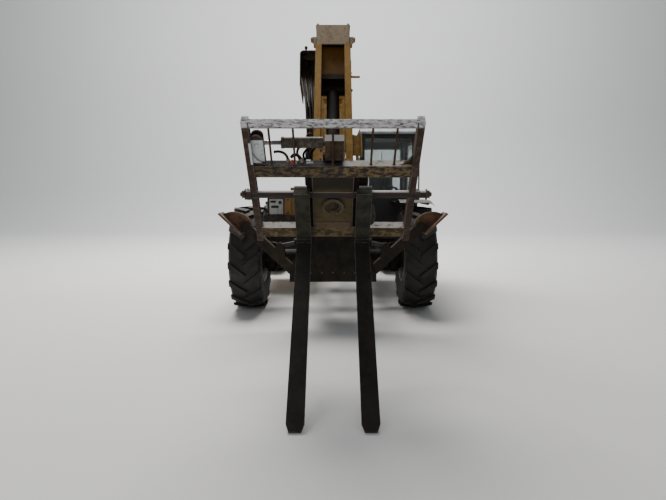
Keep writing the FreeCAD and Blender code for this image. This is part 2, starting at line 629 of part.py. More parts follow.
def build_cab():
    wall = CAB_WALL
    roof_low = CAB_ROOF - ROOF_THICK
    full = box(CAB_INNER, CAB_OUTER, CAB_FRONT, CAB_REAR, FLOOR_BOTTOM, roof_low)
    room = box(CAB_INNER + wall, CAB_OUTER - wall, CAB_FRONT + wall, CAB_REAR - wall, FLOOR_TOP,
               roof_low + 1)
    left, right = CAB_INNER + wall, CAB_OUTER - wall
    front, rear = CAB_FRONT + wall, CAB_REAR - wall
    high = roof_low - 40
    doorway = box(right - 1, CAB_OUTER + 1, DOOR_FRONT, DOOR_REAR, FLOOR_TOP + 20, roof_low - 30)
    # Windows: the span of each opening along X, Y and Z, None where it goes through the wall
    windows = [((left, right), (CAB_FRONT, front), (WINDSCREEN_LOW, high)),
               ((left, right), (rear, CAB_REAR), (SILL_HEIGHT, REAR_GLASS_TOP)),
               ((CAB_INNER, left), (front, rear), (SILL_HEIGHT, high)),
               ((right, CAB_OUTER), (DOOR_REAR + 60, rear), (SILL_HEIGHT, high))]
    shell = full.cut(room).cut(doorway)
    panes = []
    gap = SEAT_GAP
    for (x0, x1), (y0, y1), (z0, z1) in windows:
        across_x = x1 - x0 < y1 - y0 and x1 - x0 <= wall
        if across_x:
            shell = shell.cut(box(x0 - 1, x1 + 1, y0, y1, z0, z1))
            pane_x = x0 + GLASS_INSET if x0 < right else x1 - GLASS_INSET - GLASS_THICK
            panes.append(box(pane_x, pane_x + GLASS_THICK, y0 + gap, y1 - gap, z0 + gap, z1 - gap))
        else:
            shell = shell.cut(box(x0, x1, y0 - 1, y1 + 1, z0, z1))
            pane_y = y0 + GLASS_INSET if y0 < rear else y1 - GLASS_INSET - GLASS_THICK
            panes.append(box(x0 + gap, x1 - gap, pane_y, pane_y + GLASS_THICK, z0 + gap, z1 - gap))
    nodes["cab_glass"] = Part.makeCompound(panes)
    nodes["cab_roof"] = plate_x([(CAB_FRONT - 60, roof_low), (CAB_FRONT - 60, roof_low + 40),
                                 (CAB_FRONT + 20, CAB_ROOF), (CAB_REAR - 40, CAB_ROOF),
                                 (CAB_REAR + 20, roof_low + 30), (CAB_REAR + 20, roof_low)],
                                CAB_INNER - 10, CAB_OUTER + 10)
    y0, y1 = DOOR_FRONT + DOOR_GAP, DOOR_REAR - DOOR_GAP
    z0, z1 = FLOOR_TOP + 20 + DOOR_GAP, roof_low - 30 - DOOR_GAP
    door = box(right, CAB_OUTER, y0, y1, z0, z1)
    handle = box(CAB_OUTER - 1, CAB_OUTER + 30, y0 + 8, y0 + 34, 1180, 1330)
    panes = []
    for low_z, high_z, rear_y in ((SILL_HEIGHT, z1 - 55, y1 - 55), (z0 + 70, SILL_HEIGHT - 55, y1 - 300)):
        door = door.cut(box(right - 1, CAB_OUTER + 1, y0 + 55, rear_y, low_z, high_z))
        inset = CAB_OUTER - GLASS_INSET - GLASS_THICK
        panes.append(box(inset, inset + GLASS_THICK, y0 + 55 + gap, rear_y - gap, low_z + gap, high_z - gap))
    nodes["door_glass"] = Part.makeCompound(panes)
    axis_x, axis_y = CAB_OUTER + HINGE_RADIUS, DOOR_REAR - DOOR_GAP / 2
    fixed, moving = [], []
    for z in (1010, 2060):
        fixed_parts, sleeve = hinge((axis_x, axis_y, z), Z_AXIS, (30, 40, 30), HINGE_RADIUS)
        fixed += fixed_parts
        for low in (z, z + 70.3):
            fixed.append(box(CAB_OUTER - 1, axis_x, axis_y, axis_y + 30, low, low + 29.7))
        moving += [sleeve, box(CAB_OUTER - 1, CAB_OUTER + 5, axis_y - 30, axis_y, z + 31, z + 69)]
    nodes["cab_frame"] = fuse([shell] + fixed)
    nodes["cab_door"] = fuse([door, handle] + moving)
    build_cab_inside()


def build_cab_inside():
    wall = CAB_WALL
    seat_x = (CAB_INNER + CAB_OUTER) / 2

    def before_rear(share):
        return CAB_REAR - share * (CAB_REAR - CAB_FRONT)
    nodes["seat_base"] = box(seat_x - 170, seat_x + 170, before_rear(0.458), before_rear(0.194),
                             FLOOR_TOP, FLOOR_TOP + 330)
    cushion_low = FLOOR_TOP + 330 + SEAT_GAP
    nodes["seat"] = plate_x([(before_rear(0.521), cushion_low), (before_rear(0.521), 1320),
                             (before_rear(0.205), 1330), (before_rear(0.146), 1930),
                             (before_rear(0.076), 1930),
                             (before_rear(0.132), cushion_low)], seat_x - 235, seat_x + 235)
    dash = CAB_FRONT + wall
    console = plate_x([(dash + 30, FLOOR_TOP), (dash + 10, 1230), (dash + 130, 1260),
                       (dash + 210, FLOOR_TOP)],
                      seat_x - 130, seat_x + 130)
    foot, top = Vector(seat_x, CAB_FRONT + 170, 1150), Vector(seat_x, CAB_FRONT + 330, 1470)
    column = rod(tuple(foot), tuple(top), 26)
    section = [Vector(185 + 14 * math.cos(math.radians(a)), 0,
                      14 * math.sin(math.radians(a))) for a in range(0, 361, 45)]
    rim = Part.Face(Part.makePolygon(section)).revolve(Vector(0, 0, 0), Z_AXIS, 360)
    rim.Placement = FreeCAD.Placement(top, FreeCAD.Rotation(Z_AXIS, top - foot))
    spoke = Part.makeCylinder(10, 370, top - X_AXIS * 185, X_AXIS)
    nodes["steering_column"] = fuse([console, column, rim, spoke])
    side_box = box(CAB_INNER + wall + 5, CAB_INNER + wall + 105, before_rear(0.549), before_rear(0.167),
                   FLOOR_TOP, 1330)
    lever_x = CAB_INNER + wall + 55
    lever = rod((lever_x, before_rear(0.486), 1320), (lever_x, before_rear(0.521), 1480), 14)
    nodes["side_console"] = fuse([side_box, lever])


def hollow(width, height, wall, rear, front):
    body = box(-width / 2, width / 2, -rear, -front, -height / 2, height / 2)
    room = box(-width / 2 + wall, width / 2 - wall, -rear + 1, -front - 1, -height / 2 + wall,
               height / 2 - wall)
    return body.cut(room)


def build_boom():
    outer = hollow(OUTER_WIDTH, OUTER_HEIGHT, OUTER_WALL, OUTER_REAR, OUTER_FRONT)
    half_w, half_h = OUTER_WIDTH / 2, OUTER_HEIGHT / 2
    bushing = rod((-RAIL_OUTER + RAIL_THICK + 5, 0, 0), (RAIL_OUTER - RAIL_THICK - 5, 0, 0), BOOM_PIN + 40)
    collar = hollow(OUTER_WIDTH + 36, OUTER_HEIGHT + 36, OUTER_WALL + 18, OUTER_FRONT - 160, OUTER_FRONT)
    collar = collar.cut(box(-half_w + 14, half_w - 14, -OUTER_REAR, -OUTER_FRONT - 1, -half_h + 14,
                            half_h - 14))
    pads = []
    for sx, sz in ((1, 1), (1, -1), (-1, 1), (-1, -1)):
        x0 = sx * (MIDDLE_WIDTH / 2 + PAD_CLEARANCE)
        pads.append(box(x0, sx * (half_w - OUTER_WALL), -OUTER_FRONT, -OUTER_FRONT + 120, sz * 90, sz * 190))
        z0 = sz * (MIDDLE_HEIGHT / 2 + PAD_CLEARANCE)
        pads.append(box(sx * 60, sx * 150, -OUTER_FRONT, -OUTER_FRONT + 120, z0, sz * (half_h - OUTER_WALL)))
    eye_half = LIFT_ROD * EYE_WIDTH
    lug_x = LIFT_BARREL * 1.08 + 8
    lug = [plate_x([(-LIFT_LUG_S - 230, -half_h), (-LIFT_LUG_S - 60, LIFT_LUG_T - 30),
                    (-LIFT_LUG_S, LIFT_LUG_T - 70, -LIFT_LUG_S + 60, LIFT_LUG_T - 30),
                    (-LIFT_LUG_S + 230, -half_h)], side * lug_x, side * (lug_x + 28)) for side in (-1, 1)]
    lug += pin_ends(-LIFT_LUG_S, LIFT_LUG_T, LIFT_PIN, eye_half, lug_x + 34)
    outer = fuse([outer, bushing, collar] + pads + lug)
    outer = outer.cut(rod((-RAIL_OUTER, 0, 0), (RAIL_OUTER, 0, 0), BOOM_PIN + 0.1))
    nodes["boom_outer"] = on_boom(outer)

    middle = hollow(MIDDLE_WIDTH, MIDDLE_HEIGHT, MIDDLE_WALL, MIDDLE_REAR, MIDDLE_FRONT)
    pads = []
    for sx, sz in ((1, 1), (1, -1), (-1, 1), (-1, -1)):
        x0 = sx * (INNER_WIDTH / 2 + PAD_CLEARANCE)
        pads.append(box(x0, sx * (MIDDLE_WIDTH / 2 - MIDDLE_WALL), -MIDDLE_FRONT, -MIDDLE_FRONT + 110,
                        sz * 60, sz * 150))
        z0 = sz * (INNER_HEIGHT / 2 + PAD_CLEARANCE)
        pads.append(box(sx * 50, sx * 120, -MIDDLE_FRONT, -MIDDLE_FRONT + 110, z0,
                        sz * (MIDDLE_HEIGHT / 2 - MIDDLE_WALL)))
    nodes["boom_middle"] = on_boom(fuse([middle] + pads))
    nodes["boom_inner"] = on_boom(hollow(INNER_WIDTH, INNER_HEIGHT, INNER_WALL, INNER_REAR, INNER_FRONT))


def neck_outline():
    """Side plate of the gooseneck, and the point and direction of its front edge."""
    rear_top = boom_point(INNER_FRONT, INNER_HEIGHT / 2)
    rear_low = boom_point(INNER_FRONT, -INNER_HEIGHT / 2)
    span = math.hypot(NECK_TOP_Y - NOSE_Y, NECK_TOP_Z - NOSE_Z)
    base = math.degrees(math.atan2(NECK_TOP_Z - NOSE_Z, NECK_TOP_Y - NOSE_Y))
    front = base + math.degrees(math.acos(NOSE_RADIUS / span))
    front_point = polar(NOSE_Y, NOSE_Z, NOSE_RADIUS, front)
    bottom = polar(NOSE_Y, NOSE_Z, NOSE_RADIUS, 245)
    back_point = polar(NOSE_Y, NOSE_Z, NOSE_RADIUS, -38)
    points = [rear_top, (NECK_TOP_Y, NECK_TOP_Z), front_point, (*bottom, *back_point),
              (-1500, 2180), (-1250, 2510, rear_low[0] - 60, rear_low[1] + 13), rear_low]
    return points, front_point


def along_front_edge(shape):
    """Carry a shape from a frame with its length down -Z and its face at Y = 0 onto the front edge."""
    _, front_point = neck_outline()
    angle = math.degrees(math.atan2(NECK_TOP_Z - front_point[1], NECK_TOP_Y - front_point[0]))
    copy = turned(shape, Vector(0, 0, 0), X_AXIS, angle - 90)
    return moved(copy, 0, NECK_TOP_Y, NECK_TOP_Z)


def build_gooseneck():
    points, front_point = neck_outline()
    edge = math.hypot(NECK_TOP_Y - front_point[0], NECK_TOP_Z - front_point[1])
    inner = NECK_HALF - NECK_PLATE
    parts = both(plate_x(points, inner, NECK_HALF))
    flange = box(inner - 26, inner - 26 + FLANGE_WIDTH, 0, FLANGE_THICK, -edge, -CAP_LENGTH)
    parts += both(along_front_edge(flange))
    parts.append(along_front_edge(box(-CAP_HALF, CAP_HALF, 0, FLANGE_THICK, -CAP_LENGTH, 0)))
    parts += both(along_front_edge(box(CAP_HALF - 22, CAP_HALF, 0, 20, -20, 23)))
    # Ears beside the cap plate, pointed stiffeners inside the flanges and the bracket low on the cab side
    ear = plate_y([(inner, -170), (205, -165), (234, -182), (228, -232), (207, -248, 200, -270), (198, -312),
                   (inner, -325)], 14, 32)
    bolt = rod((216, 6, -205), (216, 40, -205), 12)
    parts += both(along_front_edge(fuse([ear, bolt])))
    stiffener = plate_y([(inner - 26, -1000), (86, -1060), (86, -1640), (inner - 26, -1680)], 16, 30)
    parts += both(along_front_edge(fuse([stiffener, box(inner - 28, inner + 2, 15, 30, -1680, -1000)])))
    bracket = fuse([plate_y([(NECK_HALF - 2, -1455), (235, -1475), (262, -1500), (262, -1700),
                             (NECK_HALF - 2, -1700)],
                            40, 52),
                    box(250, 266, 5, 75, -1700, -1470)])
    parts.append(along_front_edge(bracket))
    parts.append(along_front_edge(box(-inner - 2, inner + 2, WEB_RECESS, WEB_RECESS + 16,
                                      -CAP_LENGTH - WEB_LENGTH, -CAP_LENGTH + 30)))
    rear_top = boom_point(INNER_FRONT, INNER_HEIGHT / 2)
    length = math.hypot(rear_top[0] - NECK_TOP_Y, rear_top[1] - NECK_TOP_Z)
    parts.append(on_boom(box(-180, 180, -INNER_FRONT - length, -INNER_FRONT, INNER_HEIGHT / 2 - 16,
                             INNER_HEIGHT / 2)))
    # Closing plate where the inner section ends
    parts.append(on_boom(box(-INNER_WIDTH / 2, INNER_WIDTH / 2, -INNER_FRONT - 16, -INNER_FRONT,
                             -INNER_HEIGHT / 2, INNER_HEIGHT / 2)))
    # Cylinder pin inside with its spacers, and the nose pivot pin
    ty, tz = TILT_BASE
    parts.append(pin_through(ty, tz, TILT_PIN, NECK_HALF + 12))
    spacer = TILT_ROD * EYE_WIDTH + 5
    parts += [rod((side * spacer, ty, tz), (side * (inner + 2), ty, tz), TILT_PIN + 20) for side in (-1, 1)]
    parts.append(rod((-NECK_HALF - 26, NOSE_Y, NOSE_Z), (NECK_HALF + 26, NOSE_Y, NOSE_Z), NOSE_PIN))
    for side in (-1, 1):
        parts.append(rod((side * (inner - 2), NOSE_Y, NOSE_Z), (side * (NECK_HALF + 18), NOSE_Y, NOSE_Z),
                         78))
    parts.append(rod((NECK_HALF - 5, -1485, 2660), (NECK_HALF + 111, -1485, 2660), 11))
    parts.append(rod((NECK_HALF - 5, -1485, 2660), (NECK_HALF + 22, -1485, 2660), 38))
    nodes["gooseneck"] = fuse(parts)
    nodes["hose_guard"] = build_guard()
    nodes["neck_hoses"] = build_neck_hoses()


def build_guard():
    """Sheet-metal tray on the right side of the nose that carries the hoses, open below and in front."""
    start, end = INNER_FRONT + 60, INNER_FRONT + HOSE_TRAY_FRONT
    side, wall, top, low = -360.0, 12.0, 6.0, -376.0
    seat = -NECK_HALF - SEAT_GAP
    tray = plate_y([(seat, top), (side + 42, top), (side + 12, top - 12, side, top - 42), (side, low),
                    (side + wall, low), (side + wall, top - 44),
                    (side + wall + 9, top - wall - 9, side + wall + 32, top - wall), (seat, top - wall)],
                    -end, -start)
    rear = box(side + 1, seat, -start - wall, -start, low + 120, top - 1)
    knob = fuse([rod((-294, -end + 40, top - 1), (-294, -end + 40, top + 40), 9),
                 rod((-294, -end + 40, top + 34), (-294, -end + 40, top + 58), 17)])
    lug = box(side + 1, seat, -end + 90, -end + 120, top - 62, top - 1)
    holes = [rod((x, -start - wall - 1, top - 110), (x, -start + 1, top - 110), HOSE_RADIUS + SEAT_GAP)
             for x in HOSE_TOP_X]
    guard = fuse([tray, rear, knob, lug])
    for hole in holes:
        guard = guard.cut(hole)
    return on_boom(guard)


def build_neck_hoses():
    """Hoses from the tray down the nose's side, with a clamp plate half way and their end block."""
    start = INNER_FRONT + 60
    front = INNER_FRONT + HOSE_TRAY_FRONT
    pieces = []
    for index, (top_x, low_x) in enumerate(zip(HOSE_TOP_X, HOSE_LOW_X)):
        rise = -104.0
        forward = front - 96 + 26 * index
        route = [(top_x, *boom_point(start - 12, rise)), (top_x, *boom_point(forward, rise)),
                 (top_x, *boom_point(forward + 34, -330))]
        for e, share in ((1010.0, 0.75), (1420.0, 1.0), (1700.0, 1.0)):
            route.append((top_x + (low_x - top_x) * share, *edge_point(e, 72.0)))
        pieces.append(hose(route, HOSE_RADIUS))
    seat = -NECK_HALF - SEAT_GAP
    for e, outer in ((1250.0, -258.0), (1690.0, -252.0)):
        block = box(outer, seat, 52, 92, -e - 24, -e + 24)
        pieces.append(along_front_edge(block))
    return fuse(pieces)


def edge_point(e, depth):
    """Point e down the gooseneck's front edge and depth behind it."""
    _, front_point = neck_outline()
    dy, dz = front_point[0] - NECK_TOP_Y, front_point[1] - NECK_TOP_Z
    span = math.hypot(dy, dz)
    dy, dz = dy / span, dz / span
    return NECK_TOP_Y + dy * e - dz * depth, NECK_TOP_Z + dz * e + dy * depth


def build_head():
    """Tilting head: two lugs on the nose pin, the cylinder lug, the swivel pin and the side-tilt bracket."""
    lug_y, lug_z = polar(NOSE_Y, NOSE_Z, TILT_LUG_RADIUS, TILT_LUG_ANGLE)
    low_v, high_v, thick = BOSS_V - 190, BOSS_V + 190, 40
    face_low = carriage_point(low_v, -SEAT_DEPTH - thick + 1)
    face_high = carriage_point(high_v, -SEAT_DEPTH - thick + 1)
    back_high = carriage_point(high_v, -SEAT_DEPTH - thick - 40)
    nose_top = polar(NOSE_Y, NOSE_Z, 92, 60)
    nose_low = polar(NOSE_Y, NOSE_Z, 92, 250)
    nose_back = polar(NOSE_Y, NOSE_Z, 92, -20)
    outline = [face_low, face_high, back_high, (lug_y + 20, lug_z + 75), nose_top, (*nose_back, *nose_low)]
    x0, x1 = 72.0, 110.0
    parts = [plate_x(outline, side * x0, side * x1) for side in (-1, 1)]
    parts += pin_ends(lug_y, lug_z, TILT_PIN, TILT_ROD * EYE_WIDTH, x0 + 5)
    seat = [box(-150, 150, SEAT_DEPTH, SEAT_DEPTH + thick, low_v, high_v),
            rod((0, SEAT_DEPTH + 1, BOSS_V), (0, 4, BOSS_V), SWIVEL_PIN)]
    # Boxed bracket for the side-tilt cylinder's barrel, standing on a column behind the frame
    eye_half = SIDE_ROD * EYE_WIDTH
    front_y, rear_y = SIDE_TILT_DEPTH - eye_half - 5, SIDE_TILT_DEPTH + eye_half + 5
    top, foot = SIDE_TILT_V + SIDE_ROD * EYE_RADIUS + 13, UPPER_HIGH + 25
    left = SIDE_BASE_X - 28
    seat += [box(-75, 75, SEAT_DEPTH, rear_y + SIDE_PLATE, high_v - 20, foot + 20),
             box(left, 80, front_y - SIDE_PLATE, front_y, foot, top),
             box(left, 80, rear_y, rear_y + SIDE_PLATE, foot, top),
             box(left, 80, front_y - SIDE_PLATE, rear_y + SIDE_PLATE, top - 8, top),
             box(left + 8, 80, front_y - SIDE_PLATE, rear_y + SIDE_PLATE, foot, foot + 12),
             box(65, 80, front_y - SIDE_PLATE, rear_y + SIDE_PLATE, foot, top),
             rod((SIDE_BASE_X, front_y - SIDE_PLATE, SIDE_TILT_V), (SIDE_BASE_X, rear_y + 24, SIDE_TILT_V),
                 SIDE_PIN)]
    column = [(-75, high_v - 60), (-120, 300), (-150, low_v), (150, low_v), (120, 300), (75, high_v - 60)]
    seat.append(plate_y(column, SEAT_DEPTH, SEAT_DEPTH + thick))
    parts.append(on_carriage(fuse(seat)))
    head = fuse(parts)
    nodes["head_hoses"] = build_head_hoses(rear_y, high_v)
    nodes["head"] = head.cut(rod((-200, NOSE_Y, NOSE_Z), (200, NOSE_Y, NOSE_Z), NOSE_PIN + 0.1))


def build_head_hoses(rear_y, plate_top):
    """Three short hoses behind the frame, from a block on the bracket to one on the swivel plate."""
    back = rear_y + SIDE_PLATE + SEAT_GAP
    pieces = [box(-50, 10, back, back + 34, SIDE_TILT_V - 72, SIDE_TILT_V - 34)]
    for index, (out_x, dip) in enumerate(((-230, 0), (-275, 24), (-180, -20))):
        y = back + 12 + 11 * index
        pieces.append(hose([(-46 + 12 * index, y, SIDE_TILT_V - 53), (-110, y, SIDE_TILT_V - 60 + dip / 2),
                            (out_x + 40, y + 6, SIDE_TILT_V - 92 + dip),
                            (out_x, y + 14, SIDE_TILT_V - 160 + dip),
                            (out_x + 30, y + 14, SIDE_TILT_V - 250),
                            (-118 + 10 * index, y + 8, plate_top + 64 - 12 * index),
                            (-60, y, plate_top + 40 - 12 * index)], 9.0))
    pieces.append(box(-70, -30, back, back + 44, plate_top + 6, plate_top + 56))
    return on_carriage(fuse(pieces))


def build_carriage():
    half = CARRIAGE_WIDTH / 2
    inner = half - UPRIGHT_WIDTH
    top = TOP_V + TOP_BAR_HEIGHT / 2
    low = TOP_V - TOP_BAR_HEIGHT / 2
    parts = []
    for side in (-1, 1):
        parts.append(box(side * inner, side * half, 0, UPRIGHT_DEPTH, UPRIGHT_LOW, top))
        parts.append(plate_y([(side * (inner + 5), UPPER_HIGH - 5), (side * (inner - 120), UPPER_HIGH - 5),
                              (side * (inner - 120), UPPER_HIGH),
                              (side * (inner - 32), UPPER_HIGH + 38, side * inner, UPPER_HIGH + 130),
                              (side * (inner + 5), UPPER_HIGH + 130)], 20, 40))
    parts.append(box(-inner, inner, 0, BAR_DEPTH, LOWER_LOW, LOWER_HIGH))
    parts.append(box(-inner, inner, 0, BAR_DEPTH, UPPER_LOW, UPPER_HIGH))
    parts.append(box(-inner, inner, 0, 40, low, top))
    parts.append(box(-155, 155, 10, 40, LOWER_HIGH - 60, UPPER_LOW + 10))
    parts.append(rod((0, 0, BOSS_V), (0, BAR_DEPTH, BOSS_V), BOSS_RADIUS))
    # Raised rim round the boss, open below, and the lower wear band
    rim = rod((0, 0, BOSS_V), (0, -16, BOSS_V), BOSS_RADIUS).cut(rod((0, 1, BOSS_V), (0, -17, BOSS_V),
        BOSS_RADIUS - 20))
    parts.append(rim.cut(box(-26, 26, -17, 0.5, BOSS_V - BOSS_RADIUS - 1, BOSS_V)))
    parts.append(box(-140, 140, 2, 12, LOWER_HIGH - 10, LOWER_HIGH + 62))
    for x in BACKREST_BARS:
        parts.append(rod((x, 20, UPPER_HIGH - 2), (x, 20, low + 2), BACKREST_BAR))
    # Clevis on the upper crossmember for the side-tilt cylinder's rod
    eye_half = SIDE_ROD * EYE_WIDTH
    front_y, rear_y = SIDE_TILT_DEPTH - eye_half - 5, SIDE_TILT_DEPTH + eye_half + 5
    x0, x1 = SIDE_LUG_X - 46, SIDE_LUG_X + 46
    crown = SIDE_TILT_V + 40
    for y0 in (front_y - SIDE_PLATE, rear_y):
        parts.append(plate_y([(x0, UPPER_LOW + 5), (x0, crown), (SIDE_LUG_X, crown + 46, x1, crown),
                              (x1, UPPER_LOW + 5)], y0, y0 + SIDE_PLATE))
    parts.append(box(x0, x1, front_y - SIDE_PLATE, rear_y + SIDE_PLATE, UPPER_LOW + 5, UPPER_HIGH - 10))
    for y0, y1 in ((front_y - SIDE_PLATE - 4, SIDE_TILT_DEPTH - eye_half - EYE_CLEARANCE),
                   (SIDE_TILT_DEPTH + eye_half + EYE_CLEARANCE, rear_y + SIDE_PLATE + 4)):
        parts.append(rod((SIDE_LUG_X, y0, SIDE_TILT_V), (SIDE_LUG_X, y1, SIDE_TILT_V), SIDE_PIN))
    frame = fuse(parts)
    frame = frame.cut(rod((0, -20, BOSS_V), (0, 200, BOSS_V), SWIVEL_PIN + 0.1))
    frame = frame.cut(rod((-half - 5, SHAFT_Y, SHAFT_V), (half + 5, SHAFT_Y, SHAFT_V), SHAFT_RADIUS))
    nodes["carriage"] = on_carriage(frame)
    shaft = [rod((-half - 40, SHAFT_Y, SHAFT_V), (half + 85, SHAFT_Y, SHAFT_V), SHAFT_RADIUS)]
    for x0, x1 in ((-half - 34, -half), (half, half + 34)):
        shaft.append(rod((x0, SHAFT_Y, SHAFT_V), (x1, SHAFT_Y, SHAFT_V), SHAFT_RADIUS + 14))
    nodes["fork_shaft"] = on_carriage(fuse(shaft))


def build_forks():
    face = -FORK_FACE_W
    front = face - FORK_THICK
    tip = face - FORK_THICK - FORK_LENGTH
    bottom = FORK_HEEL_V
    top_v = SHAFT_V + 62
    # Side view, upright: Y forward is negative
    profile_points = [(face, bottom + 60), (face - 18, bottom + 18, face - 60, bottom),
                      (front - 420, bottom), (tip, bottom + FORK_THICK - FORK_TIP_THICK),
                      (tip, bottom + FORK_THICK), (front - 20, bottom + FORK_THICK),
                      (front, bottom + FORK_THICK + 20), (front, top_v), (face, top_v)]
    blade = plate_x(profile_points, -FORK_WIDTH / 2, FORK_WIDTH / 2)
    hook = rod((-FORK_WIDTH / 2, SHAFT_Y, SHAFT_V), (FORK_WIDTH / 2, SHAFT_Y, SHAFT_V), SHAFT_RADIUS + 34)
    link = box(-FORK_WIDTH / 2, FORK_WIDTH / 2, front, SHAFT_Y, SHAFT_V - 54, top_v)
    fork = fuse([blade, hook, link])
    fork = fork.cut(rod((-80, SHAFT_Y, SHAFT_V), (80, SHAFT_Y, SHAFT_V), SHAFT_RADIUS + SEAT_GAP))
    for side in (-1, 1):
        edge = side * (FORK_WIDTH / 2 + 1)
        corner = Part.makePolygon([Vector(edge, tip - 1, bottom - 5), Vector(edge, tip + 60, bottom - 5),
                                   Vector(side * 40, tip - 1, bottom - 5),
                                   Vector(edge, tip - 1, bottom - 5)])
        fork = fork.cut(Part.Face(corner).extrude(Vector(0, 0, 80)))
    nodes["fork_right"] = on_carriage(moved(fork, -FORK_SPACING / 2, 0, 0))
    # The left fork has a stop plate welded to its outer side
    half = FORK_WIDTH / 2
    stop = plate_y([(half - 2, 75), (half + 26, 100), (half + 38, 180), (half + 16, 290), (half - 2, 300)],
                   front + 4, front + 24)
    nodes["fork_left"] = on_carriage(moved(fuse([fork, stop]), FORK_SPACING / 2, 0, 0))


def build_outriggers():
    """The left outrigger with its foot and cylinder, mirrored for the right."""
    y0, y1 = LEG_Y - LEG_DEPTH / 2, LEG_Y + LEG_DEPTH / 2
    eye_half = LEG_ROD * EYE_WIDTH
    lug_x, lug_z = polar(LEG_PIVOT_X, LEG_PIVOT_Z, LEG_LUG_RADIUS, LEG_LUG_ANGLE)
    end_x, end_z = polar(LEG_PIVOT_X, LEG_PIVOT_Z, LEG_LENGTH, LEG_ANGLE)
    low, high = -LEG_HEIGHT / 2, LEG_HEIGHT / 2
    arm = fuse([box(0, LEG_LENGTH, y0, y1, low, high), rod((0, y0, 0), (0, y1, 0), 62),
                rod((LEG_LENGTH, y0, 0), (LEG_LENGTH, y1, 0), LEG_HEIGHT / 2)])
    arm = arm.cut(box(LEG_LENGTH - 75, LEG_LENGTH + 90, y0 + 26, y1 - 26, low - 5, high + 5))
    arm = moved(turned(arm, Vector(0, 0, 0), Y_AXIS, -LEG_ANGLE), LEG_PIVOT_X, 0, LEG_PIVOT_Z)
    parts = [arm]
    for y in (y0, y1 - 20):
        parts.append(plate_y([(lug_x - 70, lug_z - 180), (lug_x - 40, lug_z + 5),
                              (lug_x, lug_z + 38, lug_x + 38, lug_z + 5), (lug_x + 90, lug_z - 60)], y,
                              y + 20))
    parts += [rod((lug_x, y0 - 6, lug_z), (lug_x, LEG_Y - eye_half - EYE_CLEARANCE, lug_z), LEG_EYE_PIN),
              rod((lug_x, LEG_Y + eye_half + EYE_CLEARANCE, lug_z), (lug_x, y1 + 6, lug_z), LEG_EYE_PIN),
              rod((end_x, y0 - 6, end_z), (end_x, y1 + 6, end_z), 20)]
    arm = fuse(parts)
    arm = arm.cut(rod((LEG_PIVOT_X, y0 - 5, LEG_PIVOT_Z), (LEG_PIVOT_X, y1 + 5, LEG_PIVOT_Z), LEG_PIN + 0.3))
    depth0, depth1 = LEG_Y - FOOT_DEPTH / 2, LEG_Y + FOOT_DEPTH / 2
    web = [(FOOT_INNER, -FOOT_DROP - 1), (FOOT_OUTER - 25, -FOOT_DROP - 1), (FOOT_OUTER - 60, -10),
           (150, 60, 40, FOOT_DOME), (-30, FOOT_DOME - 30, -58, 20)]
    foot = [box(FOOT_INNER, FOOT_OUTER, depth0, depth1, -FOOT_DROP - FOOT_THICK, -FOOT_DROP)]
    for y in (LEG_Y - 26, LEG_Y + 12):
        foot.append(plate_y(web, y, y + 14))
    foot = fuse(foot + [rod((0, LEG_Y - 26, 0), (0, LEG_Y + 26, 0), 32)])
    foot = foot.cut(rod((0, LEG_Y - 30, 0), (0, LEG_Y + 30, 0), 20.3))
    foot = moved(turned(foot, Vector(0, 0, 0), Y_AXIS, -FOOT_ANGLE), end_x, 0, end_z)
    pair = cylinder_pair((LEG_BASE_X, LEG_BASE_Z), (lug_x, lug_z), (LEG_BARREL, LEG_ROD, LEG_EYE_PIN),
                         LEG_SHARE, LEG_CLOSES)
    barrel, piston = [moved(turned(shape, Vector(0, 0, 0), Z_AXIS, -90), 0, LEG_Y, 0) for shape in pair]
    for name, shape in (("outrigger", arm), ("foot", foot), ("leg_barrel", barrel), ("leg_rod", piston)):
        nodes[name + "_left"] = shape
        nodes[name + "_right"] = mirrored(shape)


def build_cylinders():
    lift_eye = boom_point(LIFT_LUG_S, LIFT_LUG_T)
    tilt_eye = polar(NOSE_Y, NOSE_Z, TILT_LUG_RADIUS, TILT_LUG_ANGLE)
    nodes["lift_barrel"], nodes["lift_rod"] = cylinder_pair(
        LIFT_BASE, lift_eye, (LIFT_BARREL, LIFT_ROD, LIFT_PIN), LIFT_SHARE, LIFT_CLOSES)
    nodes["tilt_barrel"], nodes["tilt_rod"] = cylinder_pair(
        TILT_BASE, tilt_eye, (TILT_BARREL, TILT_ROD, TILT_PIN), TILT_SHARE, TILT_CLOSES)
    # The side-tilt cylinder is laid out along X, then turned behind the carriage
    pair = cylinder_pair((0, 0), (SIDE_BASE_X - SIDE_LUG_X, 0), (SIDE_BARREL, SIDE_ROD, SIDE_PIN),
                         SIDE_SHARE, SIDE_CLOSES)
    for name, shape in zip(("side_tilt_barrel", "side_tilt_rod"), pair):
        shape = moved(turned(shape, Vector(0, 0, 0), Z_AXIS, 90), SIDE_BASE_X, SIDE_TILT_DEPTH, SIDE_TILT_V)
        nodes[name] = on_carriage(shape)


def main():
    os.makedirs("parts", exist_ok=True)
    build_chassis()
    build_wheels()
    build_engine_side()
    build_cab()
    build_boom()
    build_gooseneck()
    build_head()
    build_carriage()
    build_forks()
    build_outriggers()
    build_cylinders()
    for name, shape in nodes.items():
        box_ = shape.BoundBox
        print("%-24s solids %d valid %s volume %.4f x %.0f %.0f y %.0f %.0f z %.0f %.0f" % (
            name, len(shape.Solids), shape.isValid(), shape.Volume / 1e9, box_.XMin, box_.XMax,
            box_.YMin, box_.YMax, box_.ZMin, box_.ZMax))
        shape.exportStep("parts/" + name + ".step")


main()
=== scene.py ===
"""Weathered telehandler on a pale studio floor: finishes, small fittings, soft seat, lights and camera.

Metres, +Z up. The machine faces -Y and its cab stands on the +X side.
"""
import math

